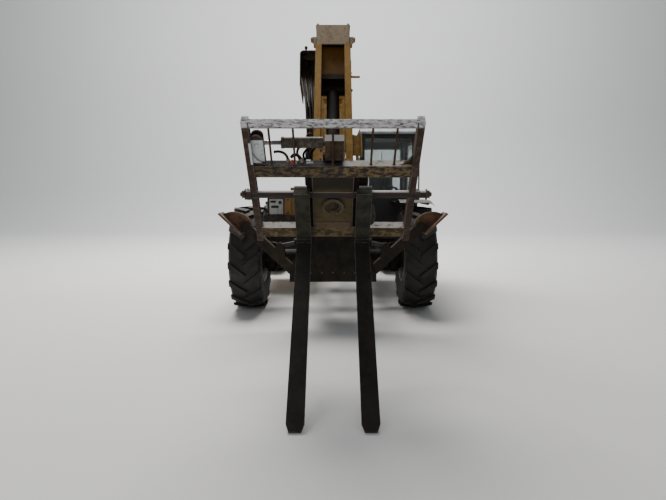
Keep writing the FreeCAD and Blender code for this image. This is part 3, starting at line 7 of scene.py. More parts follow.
import bmesh
import bpy
import numpy as np
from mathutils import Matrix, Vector


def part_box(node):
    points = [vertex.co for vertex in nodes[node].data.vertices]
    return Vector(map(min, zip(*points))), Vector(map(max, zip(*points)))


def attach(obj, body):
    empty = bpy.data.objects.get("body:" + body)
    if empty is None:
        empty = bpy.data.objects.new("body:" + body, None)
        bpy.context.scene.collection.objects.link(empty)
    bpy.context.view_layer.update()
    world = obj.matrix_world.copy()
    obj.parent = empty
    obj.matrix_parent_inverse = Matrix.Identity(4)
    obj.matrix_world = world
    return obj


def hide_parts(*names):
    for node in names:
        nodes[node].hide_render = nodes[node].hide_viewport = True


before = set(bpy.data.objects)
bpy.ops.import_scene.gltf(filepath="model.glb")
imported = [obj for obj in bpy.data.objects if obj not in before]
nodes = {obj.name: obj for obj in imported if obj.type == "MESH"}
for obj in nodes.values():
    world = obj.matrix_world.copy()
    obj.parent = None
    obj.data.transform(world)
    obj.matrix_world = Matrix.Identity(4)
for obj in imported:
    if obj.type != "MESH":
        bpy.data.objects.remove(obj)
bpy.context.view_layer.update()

X_AXIS, Y_AXIS, Z_AXIS = np.eye(3)
FORWARD = -Y_AXIS

# The carriage's own plane: v runs up it from its lower bar, w out of its front
CARRIAGE_TILT = math.radians(41.0)
CARRIAGE_FOOT = np.array([0.0, -2.755, 1.203])
CARRIAGE_UP = np.array([0.0, -math.sin(CARRIAGE_TILT), math.cos(CARRIAGE_TILT)])
CARRIAGE_OUT = np.array([0.0, -math.cos(CARRIAGE_TILT), -math.sin(CARRIAGE_TILT)])
UPRIGHT_INNER = 0.585
PLATE_HALF = 0.156
MEMBER_TOP = 0.645
TOP_BAR_LOW = 0.970
SHAFT_V = 0.352
SWIVEL_V = 0.242

# The gooseneck's front edge, from its top corner down to its nose
NECK_TOP = np.array([0.0, -1.285, 3.230])
NOSE = np.array([0.0, -2.400, 1.490])
NOSE_RADIUS = 0.11
CAP_LENGTH = 0.29
NECK_HALF = 0.165
NECK_HOLLOW_HALF = 0.139

BOOM_PIVOT = np.array([0.0, 3.35, 2.02])
BOOM_ANGLE = math.radians(12.5)
BOOM_FORWARD = np.array([0.0, -math.cos(BOOM_ANGLE), math.sin(BOOM_ANGLE)])
BOOM_UP = np.array([0.0, math.sin(BOOM_ANGLE), math.cos(BOOM_ANGLE)])
# Where the hose tray ends, along the boom
BUNDLE_REACH = 4.50

AXLES = {"front": -0.25, "rear": 2.9}
WHEELS = [axle + "_" + side for axle in AXLES for side in ("left", "right")]
AXLE_Z = 0.65
HUB_FACE_X = 1.205
CAB_FRONT, CAB_REAR, CAB_INNER, CAB_OUTER = 0.60, 2.04, 0.39, 1.19
CAB_MIDDLE = (CAB_INNER + CAB_OUTER) / 2


def neck_directions():
    """Down along the gooseneck's front edge, which passes the nose pin at its radius, and out of its front."""
    edge = NECK_TOP - NOSE
    angle = math.atan2(edge[2], edge[1]) - math.asin(NOSE_RADIUS / np.linalg.norm(edge))
    down = np.array([0.0, -math.cos(angle), -math.sin(angle)])
    return down, np.array([0.0, down[2], -down[1]])


NECK_DOWN, NECK_OUT = neck_directions()


def on_carriage(x, v, w=0.0):
    """The point at x across, v up and w out of the carriage's plane."""
    return CARRIAGE_FOOT + X_AXIS * x + CARRIAGE_UP * v + CARRIAGE_OUT * w


def on_neck(x, down, out=0.0):
    """The point at x across, that far down the gooseneck's front edge and that far out of it."""
    return NECK_TOP + X_AXIS * x + NECK_DOWN * down + NECK_OUT * out


def on_boom(x, reach, rise=0.0):
    """The point at x across, that far from the boom's pivot towards the front and above its middle line."""
    return BOOM_PIVOT + X_AXIS * x + BOOM_FORWARD * reach + BOOM_UP * rise


# Finishes

class Finish:
    """One procedural finish. Its colour is built up by tints; the other methods add nodes and give their output."""

    def __init__(self, name, colour):
        self.colour = colour
        self.material = bpy.data.materials.new(name)
        self.material.use_nodes = True
        self.tree = self.material.node_tree
        self.tree.nodes.clear()
        self.shader = self.node("BsdfPrincipled")
        self.node("OutputMaterial", Surface=self.shader.outputs[0])
        coordinates = self.node("TexCoord")
        self.place, self.facing = coordinates.outputs["Object"], coordinates.outputs["Normal"]

    def feed(self, socket, value):
        """Links an output to the socket, or sets the socket to a plain value."""
        if isinstance(value, bpy.types.NodeSocket):
            self.tree.links.new(value, socket)
        elif hasattr(value, "__len__") and len(socket.default_value) == 4:
            socket.default_value = (*value[:3], 1.0)
        else:
            socket.default_value = value

    def node(self, kind, **inputs):
        """A new node, with each input fed by its name, where _ stands for a space."""
        made = self.tree.nodes.new("ShaderNode" + kind)
        for name, value in inputs.items():
            self.feed(made.inputs[name.replace("_", " ")], value)
        return made

    def combine(self, kind, how, first, second):
        node = self.node(kind)
        node.operation = how
        self.feed(node.inputs[0], first)
        self.feed(node.inputs[1], second)
        return node

    def calc(self, how, first, second=0.0):
        return self.combine("Math", how, first, second).outputs[0]

    def dot(self, first, second):
        return self.combine("VectorMath", "DOT_PRODUCT", first, second).outputs["Value"]

    def times(self, *values):
        product = values[0]
        for value in values[1:]:
            product = self.calc("MULTIPLY", product, value)
        return product

    def plus(self, first, second):
        return self.calc("ADD", first, second)

    def minus(self, first, second):
        return self.calc("SUBTRACT", first, second)

    def noise(self, scale, detail=4.0, rough=0.6, stretch=(1, 1, 1), shift=0.0):
        """Fractal noise from 0 to 1, with its grain in repeats per metre, finer along an axis that is stretched."""
        moved = self.node("Mapping", Vector=self.place, Scale=stretch, Location=(shift, shift * 0.7, shift * 1.3))
        grain = self.node("TexNoise", Vector=moved.outputs[0], Scale=scale, Detail=detail, Roughness=rough)
        return grain.outputs["Fac"]

    def level(self, value, low, high):
        """Rises smoothly from 0 at low to 1 at high, and falls if low is above high."""
        node = self.node("MapRange", Value=value, From_Min=min(low, high), From_Max=max(low, high),
                         To_Min=float(low > high), To_Max=float(low <= high))
        node.interpolation_type = "SMOOTHSTEP"
        return node.outputs[0]

    def band(self, value, low, high, soft=0.004):
        """1 between low and high, 0 outside."""
        return self.times(self.level(value, low - soft, low + soft), self.level(value, high + soft, high - soft))

    def patches(self, scale, detail, rough, low, high, **more):
        """Noise turned into patches: 0 where it is under low, 1 where it is over high."""
        return self.level(self.noise(scale, detail, rough, **more), low, high)

    def along(self, direction, origin=(0, 0, 0)):
        """How far the point lies from origin along a direction."""
        return self.minus(self.dot(self.place, tuple(direction)), float(np.dot(direction, origin)))

    def lean(self, direction):
        """How far the face leans that way."""
        return self.minus(self.dot(self.facing, tuple(direction)), 0.0)

    def upward(self, start, scale, low, high, shift=0.0):
        """Patches on what faces up, from faces that lean up by start."""
        top = self.level(self.lean(Z_AXIS), start, 0.95)
        return self.times(top, self.patches(scale, 4.0, 0.6, low, high, shift=shift))

    def from_axle(self, y):
        """Distance from a wheel's axle line, which runs along X at height AXLE_Z."""
        across, up = self.along(Y_AXIS, (0, y, 0)), self.along(Z_AXIS, (0, 0, AXLE_Z))
        return self.calc("SQRT", self.plus(self.times(across, across), self.times(up, up)))

    def over(self, colour, tint, *masks):
        """The tint laid over the colour, as far as the product of the masks goes."""
        node = self.node("Mix")
        node.data_type = "RGBA"
        self.feed(node.inputs["Factor"], self.times(*masks))
        self.feed(node.inputs[6], colour)
        self.feed(node.inputs[7], tint)
        return node.outputs[2]

    def lay(self, tint, *masks):
        """Lays the tint over the finish's own colour."""
        self.colour = self.over(self.colour, tint, *masks)

    def edges(self, radius, keep=1.0):
        """1 along outer edges and corners, where the bevelled normal leaves the true one, broken up by noise."""
        bevel = self.node("Bevel", Radius=radius)
        bevel.samples = 4
        true = self.node("NewGeometry").outputs["True Normal"]
        corner = self.level(self.dot(bevel.outputs[0], true), 0.998, 0.93)
        return self.times(corner, self.patches(38.0, 5.0, 0.7, 0.62 - 0.3 * keep, 0.72 - 0.3 * keep))

    def hollows(self, distance):
        """1 deep in corners and under ledges, 0 in the open."""
        node = self.node("AmbientOcclusion", Distance=distance)
        node.samples = 4
        return self.level(node.outputs["AO"], 0.75, 0.25)

    def close(self, rough, height=None, depth=0.001, **plain):
        """Feeds the shader and gives the material; depth is the height map's full height in metres."""
        if height is not None:
            plain["Normal"] = self.node("Bump", Strength=1.0, Distance=depth, Height=height).outputs[0]
        for name, value in dict(plain, Base_Color=self.colour, Roughness=rough).items():
            self.feed(self.shader.inputs[name.replace("_", " ")], value)
        return self.material


RUST = (0.090, 0.040, 0.020)
RUST_DARK = (0.032, 0.019, 0.013)
RUST_BRIGHT = (0.20, 0.080, 0.030)
DUST = (0.30, 0.255, 0.19)
GREASE_AND_SHADE = (0.012, 0.010, 0.008)
OIL_AND_SHADE_BLACK = (0.008, 0.007, 0.006)
BARE_STEEL = (0.30, 0.28, 0.26)
OCHRE = (0.31, 0.158, 0.022)
OCHRE_FADED = (0.36, 0.215, 0.060)
BEIGE = (0.285, 0.215, 0.130)
HOOD_BROWN = (0.24, 0.135, 0.030)
SOOT = (0.014, 0.012, 0.011)


def as_is(f):
    """Adds nothing to the finish."""


def worn_paint(name, paint, faded, wear=1.0, dirt=1.0, streaks=1.0, extra=as_is, dust=DUST, inside=as_is,
               sheen=0.5):
    """Old paint: faded in clouds, streaked downwards, dirty and darkened as painted shade in hollows, chipped to rust
    at edges, dusty on top.
    """
    f = Finish(name, paint)
    f.lay(faded, f.patches(1.7, 5.0, 0.65, 0.35, 0.7))
    extra(f)
    fine = f.noise(9.0, 6.0, 0.7, shift=3.0)
    f.lay((0.11, 0.066, 0.028), f.level(fine, 0.45, 0.75), 0.4 * dirt)
    runs = f.patches(7.0, 4.0, 0.6, 0.50, 0.76, stretch=(4.5, 4.5, 0.35), shift=7.0)
    f.lay((0.07, 0.042, 0.02), runs, 0.55 * streaks)
    f.lay((0.10, 0.078, 0.052), f.level(f.along(Z_AXIS), 1.25, 0.5), f.level(fine, 0.3, 0.62), 0.45 * dirt)
    # Dirt and painted shade in hollows and under ledges
    f.lay((0.035, 0.024, 0.014), f.hollows(0.16), f.level(fine, 0.15, 0.5), min(0.9 * dirt, 1.0))
    f.lay(dust, f.upward(0.45, 5.0, 0.3, 0.7), 0.5 * dirt)
    inside(f)
    specks = f.patches(55.0, 3.0, 0.8, 0.72 - 0.05 * wear, 0.76 - 0.05 * wear, shift=11.0)
    chips = f.calc("MAXIMUM", specks, f.times(f.edges(0.006), wear))
    rust = f.over(RUST_DARK, RUST, f.patches(25.0, 3.0, 0.6, 0.35, 0.65))
    f.lay(rust, f.calc("MINIMUM", chips, 1.0))
    rough = f.plus(f.times(f.level(fine, 0.3, 0.8), 0.28), 0.45)
    height = f.minus(f.times(f.noise(130.0, 2.0), 0.25), chips)
    return f.close(rough, height, 0.0007, Specular_IOR_Level=sheen)


def rusty_steel(name, bright, worn, dusty=0.45, sheen=0.5, extra=as_is, scale=1.0):
    """Rust over old steel: dark and bright blotches, grease and painted shade in hollows, a pitted skin, edges rubbed
    grey and dust on top.
    """
    f = Finish(name, RUST_DARK)
    f.lay(RUST, f.patches(6.0 * scale, 6.0, 0.7, 0.35, 0.7))
    f.lay(RUST_BRIGHT, f.patches(17.0 * scale, 5.0, 0.75, 0.5, 0.75, shift=5.0), bright)
    extra(f)
    # Grease and painted shade in hollows and under ledges
    f.lay(GREASE_AND_SHADE, f.hollows(0.12), 0.7)
    f.lay(DUST, f.upward(0.5, 7.0, 0.35, 0.65, 2.0), dusty)
    rubbed = f.times(f.edges(0.006, 0.8), worn)
    f.lay(BARE_STEEL, rubbed)
    pits = f.noise(90.0, 4.0, 0.7, shift=9.0)
    rough = f.minus(f.plus(0.70, f.times(pits, 0.2)), f.times(rubbed, 0.35))
    return f.close(rough, pits, 0.0014, Metallic=f.times(rubbed, 0.6), Specular_IOR_Level=sheen)


def rubber_finish(axle):
    """Tyre rubber: black lugs with scuffed tops, fine rings moulded in the sidewall, dried mud between the lugs."""
    f = Finish("tyre_rubber_" + axle, (0.008, 0.0075, 0.007))
    reach = f.from_axle(AXLES[axle])
    cloud = f.noise(3.5, 6.0, 0.7)
    grain = f.noise(60.0, 4.0, 0.75, shift=4.0)
    f.lay((0.050, 0.043, 0.034), f.level(cloud, 0.3, 0.7), f.level(grain, 0.3, 0.75), 0.45)
    between = f.times(f.level(reach, 0.632, 0.615), f.level(reach, 0.57, 0.60))
    f.lay((0.060, 0.048, 0.034), between, f.level(cloud, 0.35, 0.65), 0.4)
    f.lay((0.036, 0.034, 0.031), f.level(reach, 0.636, 0.646), f.level(grain, 0.35, 0.6), 0.5)
    f.lay((0.030, 0.025, 0.019), f.hollows(0.05), 0.4)
    rings = f.times(f.calc("SINE", f.times(reach, 2 * math.pi / 0.016)), f.band(reach, 0.36, 0.50, 0.01))
    ledge = f.level(reach, 0.515, 0.525)
    height = f.plus(f.times(grain, 0.35), f.plus(f.times(rings, 0.25), f.times(ledge, 0.5)))
    return f.close(f.plus(0.66, f.times(grain, 0.24)), height, 0.004)


def glass_finish():
    """Tinted cab glass under a film of dust, thicker in streaks."""
    f = Finish("cab_glazing", (0.66, 0.71, 0.71))
    film = f.times(f.patches(4.0, 5.0, 0.65, 0.35, 0.8), 0.3)
    streak = f.patches(9.0, 4.0, 0.6, 0.55, 0.75, stretch=(3.5, 3.5, 0.3), shift=5.0)
    film = f.plus(film, f.times(streak, 0.12))
    f.lay((0.55, 0.53, 0.48), film)
    return f.close(f.plus(0.03, f.times(film, 0.7)), Transmission_Weight=0.92, IOR=1.14, Alpha=1.0)


def plastic_finish(name, colour, dusty, rough, grain=220.0, top_dust=0.55):
    """Moulded plastic or cab paint, grained, with dust on what faces up and mud splashed low down."""
    f = Finish(name, colour)
    cloud = f.noise(4.0, 5.0, 0.65)
    f.lay(dusty, f.level(cloud, 0.35, 0.75), 0.45)
    splashes = f.patches(12.0, 5.0, 0.75, 0.42, 0.62, shift=8.0)
    f.lay((0.13, 0.105, 0.075), f.level(f.along(Z_AXIS), 1.3, 0.6), splashes, 0.6)
    f.lay(DUST, f.upward(0.4, 6.0, 0.25, 0.65, 6.0), top_dust)
    f.lay((0.16, 0.14, 0.12), f.edges(0.004, 0.5), 0.5)
    return f.close(f.plus(rough, f.times(f.level(cloud, 0.3, 0.8), 0.25)), f.noise(grain, 2.0, shift=1.0), 0.0003)


def roof_finish():
    """The cab roof: black, but its front fascia is bleached pale blue-grey and chalky."""
    f = Finish("cab_roof", SOOT)
    cloud = f.noise(7.0, 5.0, 0.7)
    f.lay((0.075, 0.07, 0.062), f.level(cloud, 0.35, 0.7), 0.5)
    bleached = f.patches(18.0, 5.0, 0.7, 0.35, 0.68, stretch=(0.4, 1, 1.5), shift=4.0)
    f.lay(f.over((0.46, 0.52, 0.56), (0.22, 0.235, 0.245), bleached),
          f.level(f.along(FORWARD, (0, CAB_FRONT + 0.03, 0)), 0.0, 0.01), f.level(f.along(Z_AXIS), 2.285, 2.295), 0.92)
    f.lay(DUST, f.upward(0.5, 5.0, 0.3, 0.65, 6.0), 0.5)
    return f.close(f.plus(0.45, f.times(cloud, 0.3)), f.noise(180.0, 2.0), 0.0004)


def chrome_finish(name, grime, film_and_shade_colour=(0.045, 0.036, 0.028), sheen=0.5):
    """Ground rod steel under an oily, dusty film; grime is the film's share, and a near-black film is painted shade."""
    f = Finish(name, (0.50, 0.49, 0.47))
    film = f.plus(f.times(f.patches(14.0, 5.0, 0.7, 0.35, 0.7), 1.0 - grime), grime)
    f.lay(film_and_shade_colour, film, 0.95)
    return f.close(f.plus(0.22, f.times(film, 0.45)), f.noise(160.0, 3.0), 0.0001,
                   Metallic=f.minus(1.0, f.times(film, 0.9)), Specular_IOR_Level=sheen)


def cast_finish(name, colour, dusty, amount=0.55, top_dust=0.4, sheen=0.5):
    """Rough cast or forged iron, or greasy black paint, under a skin of grease and dry dust."""
    f = Finish(name, colour)
    cloud = f.noise(8.0, 6.0, 0.7)
    f.lay(GREASE_AND_SHADE, f.level(cloud, 0.3, 0.7))
    f.lay(dusty, f.patches(24.0, 6.0, 0.78, 0.46, 0.64, shift=8.0), amount)
    f.lay(DUST, f.upward(0.5, 9.0, 0.35, 0.65, 3.0), top_dust)
    f.lay(RUST, f.edges(0.005, 0.7), 0.55)
    return f.close(f.plus(0.50, f.times(cloud, 0.4)), f.noise(110.0, 3.0, 0.7), 0.0012, Specular_IOR_Level=sheen)


def neck_place(f):
    """How far a point lies down the gooseneck's front edge and out of it."""
    return f.along(NECK_DOWN, NECK_TOP), f.along(NECK_OUT, NECK_TOP)


def between_plates(f):
    """1 between the gooseneck's two side plates."""
    return f.band(f.along(X_AXIS), -NECK_HOLLOW_HALF, NECK_HOLLOW_HALF, 0.002)


def up_carriage(f):
    """How far a point lies up the carriage."""
    return f.along(CARRIAGE_UP, CARRIAGE_FOOT)


def neck_colours(f):
    """The gooseneck: a beige cap plate, and brown shade towards its nose."""
    down, out = neck_place(f)
    grime = f.patches(20.0, 5.0, 0.7, 0.5, 0.72, stretch=(1, 0.5, 0.5), shift=31.0)
    f.lay(f.over(BEIGE, (0.15, 0.10, 0.05), grime, 0.55),
          f.level(down, CAP_LENGTH + 0.004, CAP_LENGTH - 0.004), f.level(out, -0.035, -0.025))
    f.lay((0.10, 0.055, 0.018), f.level(down, 1.2, 2.0), f.patches(13.0, 5.0, 0.7, 0.35, 0.6, shift=37.0), 0.6)


def neck_inside(f):
    """Between the gooseneck's plates: painted shade, dark brown on the web and near black further in."""
    down, out = neck_place(f)
    cloud = f.patches(6.0, 5.0, 0.7, 0.3, 0.7, stretch=(1.5, 0.6, 0.6), shift=53.0)
    # The web is the ochre darkened as painted shade; deeper in it turns near black as painted shade
    web = f.over((0.125, 0.058, 0.010), (0.085, 0.035, 0.005), cloud)
    deep_painted_shade = f.calc("MAXIMUM", f.level(down, 0.63, 0.68), f.level(out, -0.080, -0.095))
    f.lay(f.over(web, (0.004, 0.0035, 0.003), deep_painted_shade), f.level(out, -0.022, -0.032), between_plates(f), 0.97)


def boom_end(f):
    """Painted shade: the inner section's front end, seen up the gooseneck, is near black."""
    f.lay((0.005, 0.004, 0.003), f.level(f.along(FORWARD, (0, -0.62, 0)), 0.0, 0.08), between_plates(f), 0.97)


def blotches(f, scale, shift, first, second, low=0.44, high=0.56):
    """Two colours in hard-edged patches, as where paint has come off."""
    return f.over(first, second, f.patches(scale, 7.0, 0.78, low, high, stretch=(0.7, 1, 1.2), shift=shift))


def carriage_colours(f):
    """The carriage: grey flakes on its top bar, dark and tan patches on its crossmembers, pale top faces that are worn
    and lightened as a painted highlight.
    """
    v, x = up_carriage(f), f.along(X_AXIS)
    between = f.band(x, -UPRIGHT_INNER, UPRIGHT_INNER, 0.002)
    right_part = f.level(x, 0.06, 0.09)
    # Upper crossmember: blue-black with tan patches, more of them towards the cab
    tan = f.patches(24.0, 7.0, 0.8, 0.47, 0.56, stretch=(0.6, 1, 1.3), shift=21.0)
    member = f.over((0.030, 0.026, 0.023), (0.20, 0.135, 0.062), tan, f.plus(0.55, f.times(right_part, 0.35)))
    f.lay(member, f.band(v, 0.530, MEMBER_TOP + 0.005), between)
    # Plate in the middle: olive, darker above, redder below
    plate = blotches(f, 15.0, 27.0, (0.060, 0.047, 0.022), (0.100, 0.078, 0.038), 0.35, 0.65)
    plate = f.over(plate, (0.026, 0.022, 0.015), f.level(v, 0.36, 0.44))
    redder = f.patches(19.0, 5.0, 0.7, 0.3, 0.6, shift=29.0)
    plate = f.over(plate, (0.115, 0.072, 0.045), f.level(v, 0.13, 0.06), redder)
    f.lay(plate, f.band(v, 0.002, 0.536), f.band(x, -PLATE_HALF, PLATE_HALF))
    # Lower bar
    f.lay(blotches(f, 20.0, 33.0, (0.045, 0.033, 0.018), (0.140, 0.100, 0.052)), f.level(v, 0.003, 0.0), between)
    # Top faces of the lower bar and of the upper crossmember, pale in flakes from wear and as a painted highlight
    top = f.level(f.lean(CARRIAGE_UP), 0.6, 0.9)
    flakes = f.noise(26.0, 6.0, 0.75, stretch=(0.5, 1.0, 1.6), shift=13.0)
    pale = f.over((0.14, 0.11, 0.09), (0.50, 0.47, 0.43), f.level(flakes, 0.36, 0.50))
    slate = f.over((0.016, 0.016, 0.018), (0.070, 0.066, 0.060), f.level(flakes, 0.44, 0.60))
    f.lay(pale, top, f.band(v, -0.01, 0.02), between)
    f.lay(f.over(slate, pale, right_part), top, f.band(v, MEMBER_TOP - 0.010, MEMBER_TOP + 0.010), between)
    # Top bar: chalky grey with dark flakes
    mottle = f.patches(46.0, 6.0, 0.8, 0.38, 0.56, stretch=(0.45, 1.0, 1.5), shift=41.0)
    chalk = f.over((0.085, 0.070, 0.062), (0.62, 0.61, 0.62), mottle)
    chalk = f.over(chalk, (0.075, 0.050, 0.038), f.level(v, 0.983, 0.977), 0.8)
    f.lay(chalk, f.level(v, TOP_BAR_LOW - 0.002, TOP_BAR_LOW + 0.004))
    upright = blotches(f, 16.0, 61.0, (0.040, 0.026, 0.019), (0.105, 0.080, 0.062), 0.45, 0.68)
    flank = f.level(f.calc("ABSOLUTE", x), UPRIGHT_INNER - 0.002, UPRIGHT_INNER + 0.002)
    f.lay(upright, flank, f.level(v, TOP_BAR_LOW + 0.004, TOP_BAR_LOW - 0.002), 0.85)
    # Clevis plate for the rod: whitish under a rusty end
    lug = f.times(f.band(x, -0.600, -0.495), f.band(v, 0.658, 0.945),
                  f.level(f.along(CARRIAGE_OUT, CARRIAGE_FOOT), -0.068, -0.062))
    white = f.over((0.60, 0.63, 0.64), (0.26, 0.22, 0.19), f.patches(30.0, 5.0, 0.7, 0.55, 0.70, shift=15.0))
    f.lay(f.over(white, (0.050, 0.034, 0.024), f.level(v, 0.842, 0.852)), lug, 0.95)


def shaft_colours(f):
    """The fork shaft: worn bright along its top, there also a painted highlight, and nearly black below as painted
    shade.
    """
    up = f.lean(Z_AXIS)
    # Painted shade: the underside is nearly black
    f.lay((0.022, 0.018, 0.015), f.level(up, 0.1, -0.2))
    # Bright worn patches along the top, also a painted highlight
    worn = f.patches(12.0, 4.0, 0.7, 0.25, 0.4, stretch=(0.3, 1, 1), shift=19.0)
    f.lay((0.62, 0.60, 0.57), f.level(up, 0.30, 0.62), worn)


def head_colours(f):
    """The tilting head: grease and black dirt over brown, with a light grey rubbed top on its cylinder bracket."""
    grease = f.patches(10.0, 6.0, 0.72, 0.34, 0.6, shift=23.0)
    f.colour = f.over((0.075, 0.050, 0.028), (0.009, 0.007, 0.006), grease, 0.85)
    top = f.level(f.lean(CARRIAGE_UP), 0.5, 0.9)
    f.lay((0.40, 0.39, 0.37), f.level(up_carriage(f), 0.822, 0.830), top, 0.9)


def fork_colours(f):
    """Forged forks: olive-grey remains on the shanks, near black at the heels, rubbed brown on the blades."""
    v = up_carriage(f)
    shank = f.over((0.017, 0.017, 0.012), (0.040, 0.037, 0.025), f.patches(8.0, 6.0, 0.7, 0.38, 0.62, shift=17.0))
    blade = f.over((0.012, 0.010, 0.009), (0.030, 0.023, 0.018), f.patches(5.0, 6.0, 0.75, 0.36, 0.64, shift=43.0))
    f.colour = f.over(blade, shank, f.level(v, -0.13, -0.06))
    f.lay(OIL_AND_SHADE_BLACK, f.band(v, -0.16, -0.07, 0.02), 0.5)


def foot_colours(f):
    """Outrigger feet: patches of orange rust."""
    f.lay((0.17, 0.080, 0.035), f.patches(9.0, 5.0, 0.7, 0.35, 0.6, shift=47.0), 0.75)


def hood_colours(f):
    """The engine hood is browner at its front."""
    f.lay(HOOD_BROWN, f.level(f.along(FORWARD, (0, 0.75, 0)), 0.0, 0.2), 0.6)


def housing_front(f):
    """Painted shade: the housing's front faces below the hood are near black."""
    f.lay(OIL_AND_SHADE_BLACK, f.level(f.lean(FORWARD), 0.5, 0.8), f.level(f.along(Z_AXIS), 1.16, 1.12), 0.95)


def wheel_inside(f):
    """Wheels are near black on the side that faces the axle."""
    f.lay((0.018, 0.014, 0.010), f.level(f.calc("ABSOLUTE", f.along(X_AXIS)), 1.06, 0.99), 0.9)


def clad(finish, *names):
    """Puts the finish on those CAD nodes."""
    for name in names:
        mesh = nodes[name].data
        mesh.materials.clear()
        mesh.materials.append(finish)
    return finish


clad(worn_paint("yellow_paint", OCHRE, OCHRE_FADED), "boom_outer", "boom_middle")
clad(worn_paint("gooseneck_paint", OCHRE, OCHRE_FADED, dirt=0.9, extra=neck_colours, dust=(0.24, 0.17, 0.09),
                inside=neck_inside, sheen=0.12), "gooseneck")
clad(worn_paint("inner_boom_paint", OCHRE, OCHRE_FADED, inside=boom_end, sheen=0.2), "boom_inner")
# The chassis frame's near black is black paint darkened further as painted shade
clad(worn_paint("chassis_black", (0.006, 0.0055, 0.005), (0.013, 0.011, 0.009), wear=1.2, dirt=0.3, streaks=0.3,
                dust=(0.13, 0.105, 0.08), sheen=0.12), "chassis_frame")
# The outrigger arms are near black as painted shade, and the dust on their tops also lightens the top edges as a
# painted highlight
clad(worn_paint("outrigger_paint", (0.009, 0.008, 0.007), (0.028, 0.020, 0.013), wear=1.6, dirt=0.4, streaks=0.5,
                dust=(0.15, 0.12, 0.085), sheen=0.15), "outrigger_left", "outrigger_right")
clad(worn_paint("wheel_paint", HOOD_BROWN, (0.28, 0.19, 0.08), dirt=1.5, inside=wheel_inside),
     *["wheel_" + name for name in WHEELS])
clad(rusty_steel("carriage_rust", 0.2, 0.45, 0.05, 0.2, carriage_colours), "carriage")
clad(rusty_steel("shaft_steel", 0.2, 0.2, 0.1, extra=shaft_colours), "fork_shaft")
clad(rusty_steel("head_steel", 0.15, 0.3, 0.12, 0.25, head_colours), "head")
clad(rusty_steel("fork_steel", 0.10, 0.5, 0.04, 0.2, fork_colours), "fork_left", "fork_right")
clad(cast_finish("cast_grey", (0.050, 0.044, 0.036), (0.12, 0.09, 0.06)),
     "rear_axle", "gearbox", "engine", "knuckle_rear_left", "knuckle_rear_right")
clad(cast_finish("weight_black", (0.030, 0.028, 0.026), (0.12, 0.10, 0.075), 0.5), "counterweight")
# Painted shade: the front axle, its knuckles and the leg barrels are near black, darker than the rear axle's cast grey
clad(cast_finish("underside_black", (0.012, 0.011, 0.010), (0.045, 0.036, 0.027), 0.5, 0.08, 0.12),
     "leg_barrel_left", "leg_barrel_right", "front_axle", "knuckle_front_left", "knuckle_front_right")
clad(chrome_finish("rod_chrome", 0.25), "lift_rod", "tilt_rod", "side_tilt_rod")
# The leg rods' near-black film, over nearly all of them, is painted shade
clad(chrome_finish("leg_rod_chrome", 0.93, (0.014, 0.012, 0.010), 0.15), "leg_rod_left", "leg_rod_right")
clad(roof_finish(), "cab_roof")
clad(glass_finish(), "cab_glass", "door_glass")
for axle in AXLES:
    clad(rubber_finish(axle), "tyre_" + axle + "_left", "tyre_" + axle + "_right")

# These are on small pieces too
HOOD_PAINT = clad(worn_paint("hood_paint", OCHRE, OCHRE_FADED, dirt=1.2, extra=hood_colours, inside=housing_front),
                  "engine_housing", "engine_hood")
FOOT_STEEL = clad(rusty_steel("rusty_steel", 0.7, 0.9, 0.35, extra=foot_colours), "foot_left", "foot_right")
# The tilt barrel's near black is painted shade between the gooseneck's plates
NECK_BLACK = clad(cast_finish("neck_cylinder_black", (0.005, 0.0045, 0.004), (0.014, 0.011, 0.009), 0.5, 0.03, 0.08),
                  "tilt_barrel")
CYLINDER_BLACK = clad(cast_finish("cylinder_black", (0.050, 0.040, 0.029), (0.17, 0.13, 0.08), 0.6),
                      "lift_barrel", "side_tilt_barrel")
GUARD_BLACK = clad(cast_finish("guard_black", (0.020, 0.018, 0.017), (0.115, 0.085, 0.06), 0.75), "hose_guard")
HOSE_RUBBER = clad(cast_finish("hose_rubber", (0.010, 0.009, 0.008), (0.040, 0.032, 0.024), 0.5, 0.0, 0.08),
                   "neck_hoses", "head_hoses")
CAB_BLACK = clad(plastic_finish("cab_black", (0.009, 0.009, 0.0095), (0.028, 0.027, 0.025), 0.38, top_dust=0.35),
                 "cab_frame", "cab_door", "fuel_tank", "mudguard")
CAB_PLASTIC = clad(plastic_finish("cab_plastic", (0.030, 0.030, 0.032), (0.075, 0.072, 0.065), 0.5),
                   "seat_base", "steering_column", "side_console", "seat")

# And these on small pieces alone
PALE_PLATE = worn_paint("pale_plate", (0.52, 0.52, 0.50), (0.40, 0.39, 0.37), wear=1.6, dirt=0.7)
WELD = rusty_steel("weld_steel", 0.5, 0.3, scale=3.0)
BOLT_STEEL = cast_finish("bolt_steel", (0.085, 0.075, 0.062), (0.16, 0.095, 0.05), 0.6)
BRASS_FITTING = cast_finish("hose_fitting", (0.28, 0.24, 0.17), (0.14, 0.11, 0.07), 0.5)
GASKET = plastic_finish("window_rubber", (0.012, 0.012, 0.012), (0.06, 0.055, 0.048), 0.7, 300.0, 0.4)
RED_CAP = plastic_finish("fitting_red", (0.30, 0.030, 0.020), (0.20, 0.06, 0.045), 0.45)
SEAT_VINYL = plastic_finish("seat_vinyl", (0.022, 0.022, 0.024), (0.065, 0.06, 0.055), 0.42, 420.0, 0.35)


# Shapes: every grid below is (points, closed_u, closed_v), with u along the array's first axis

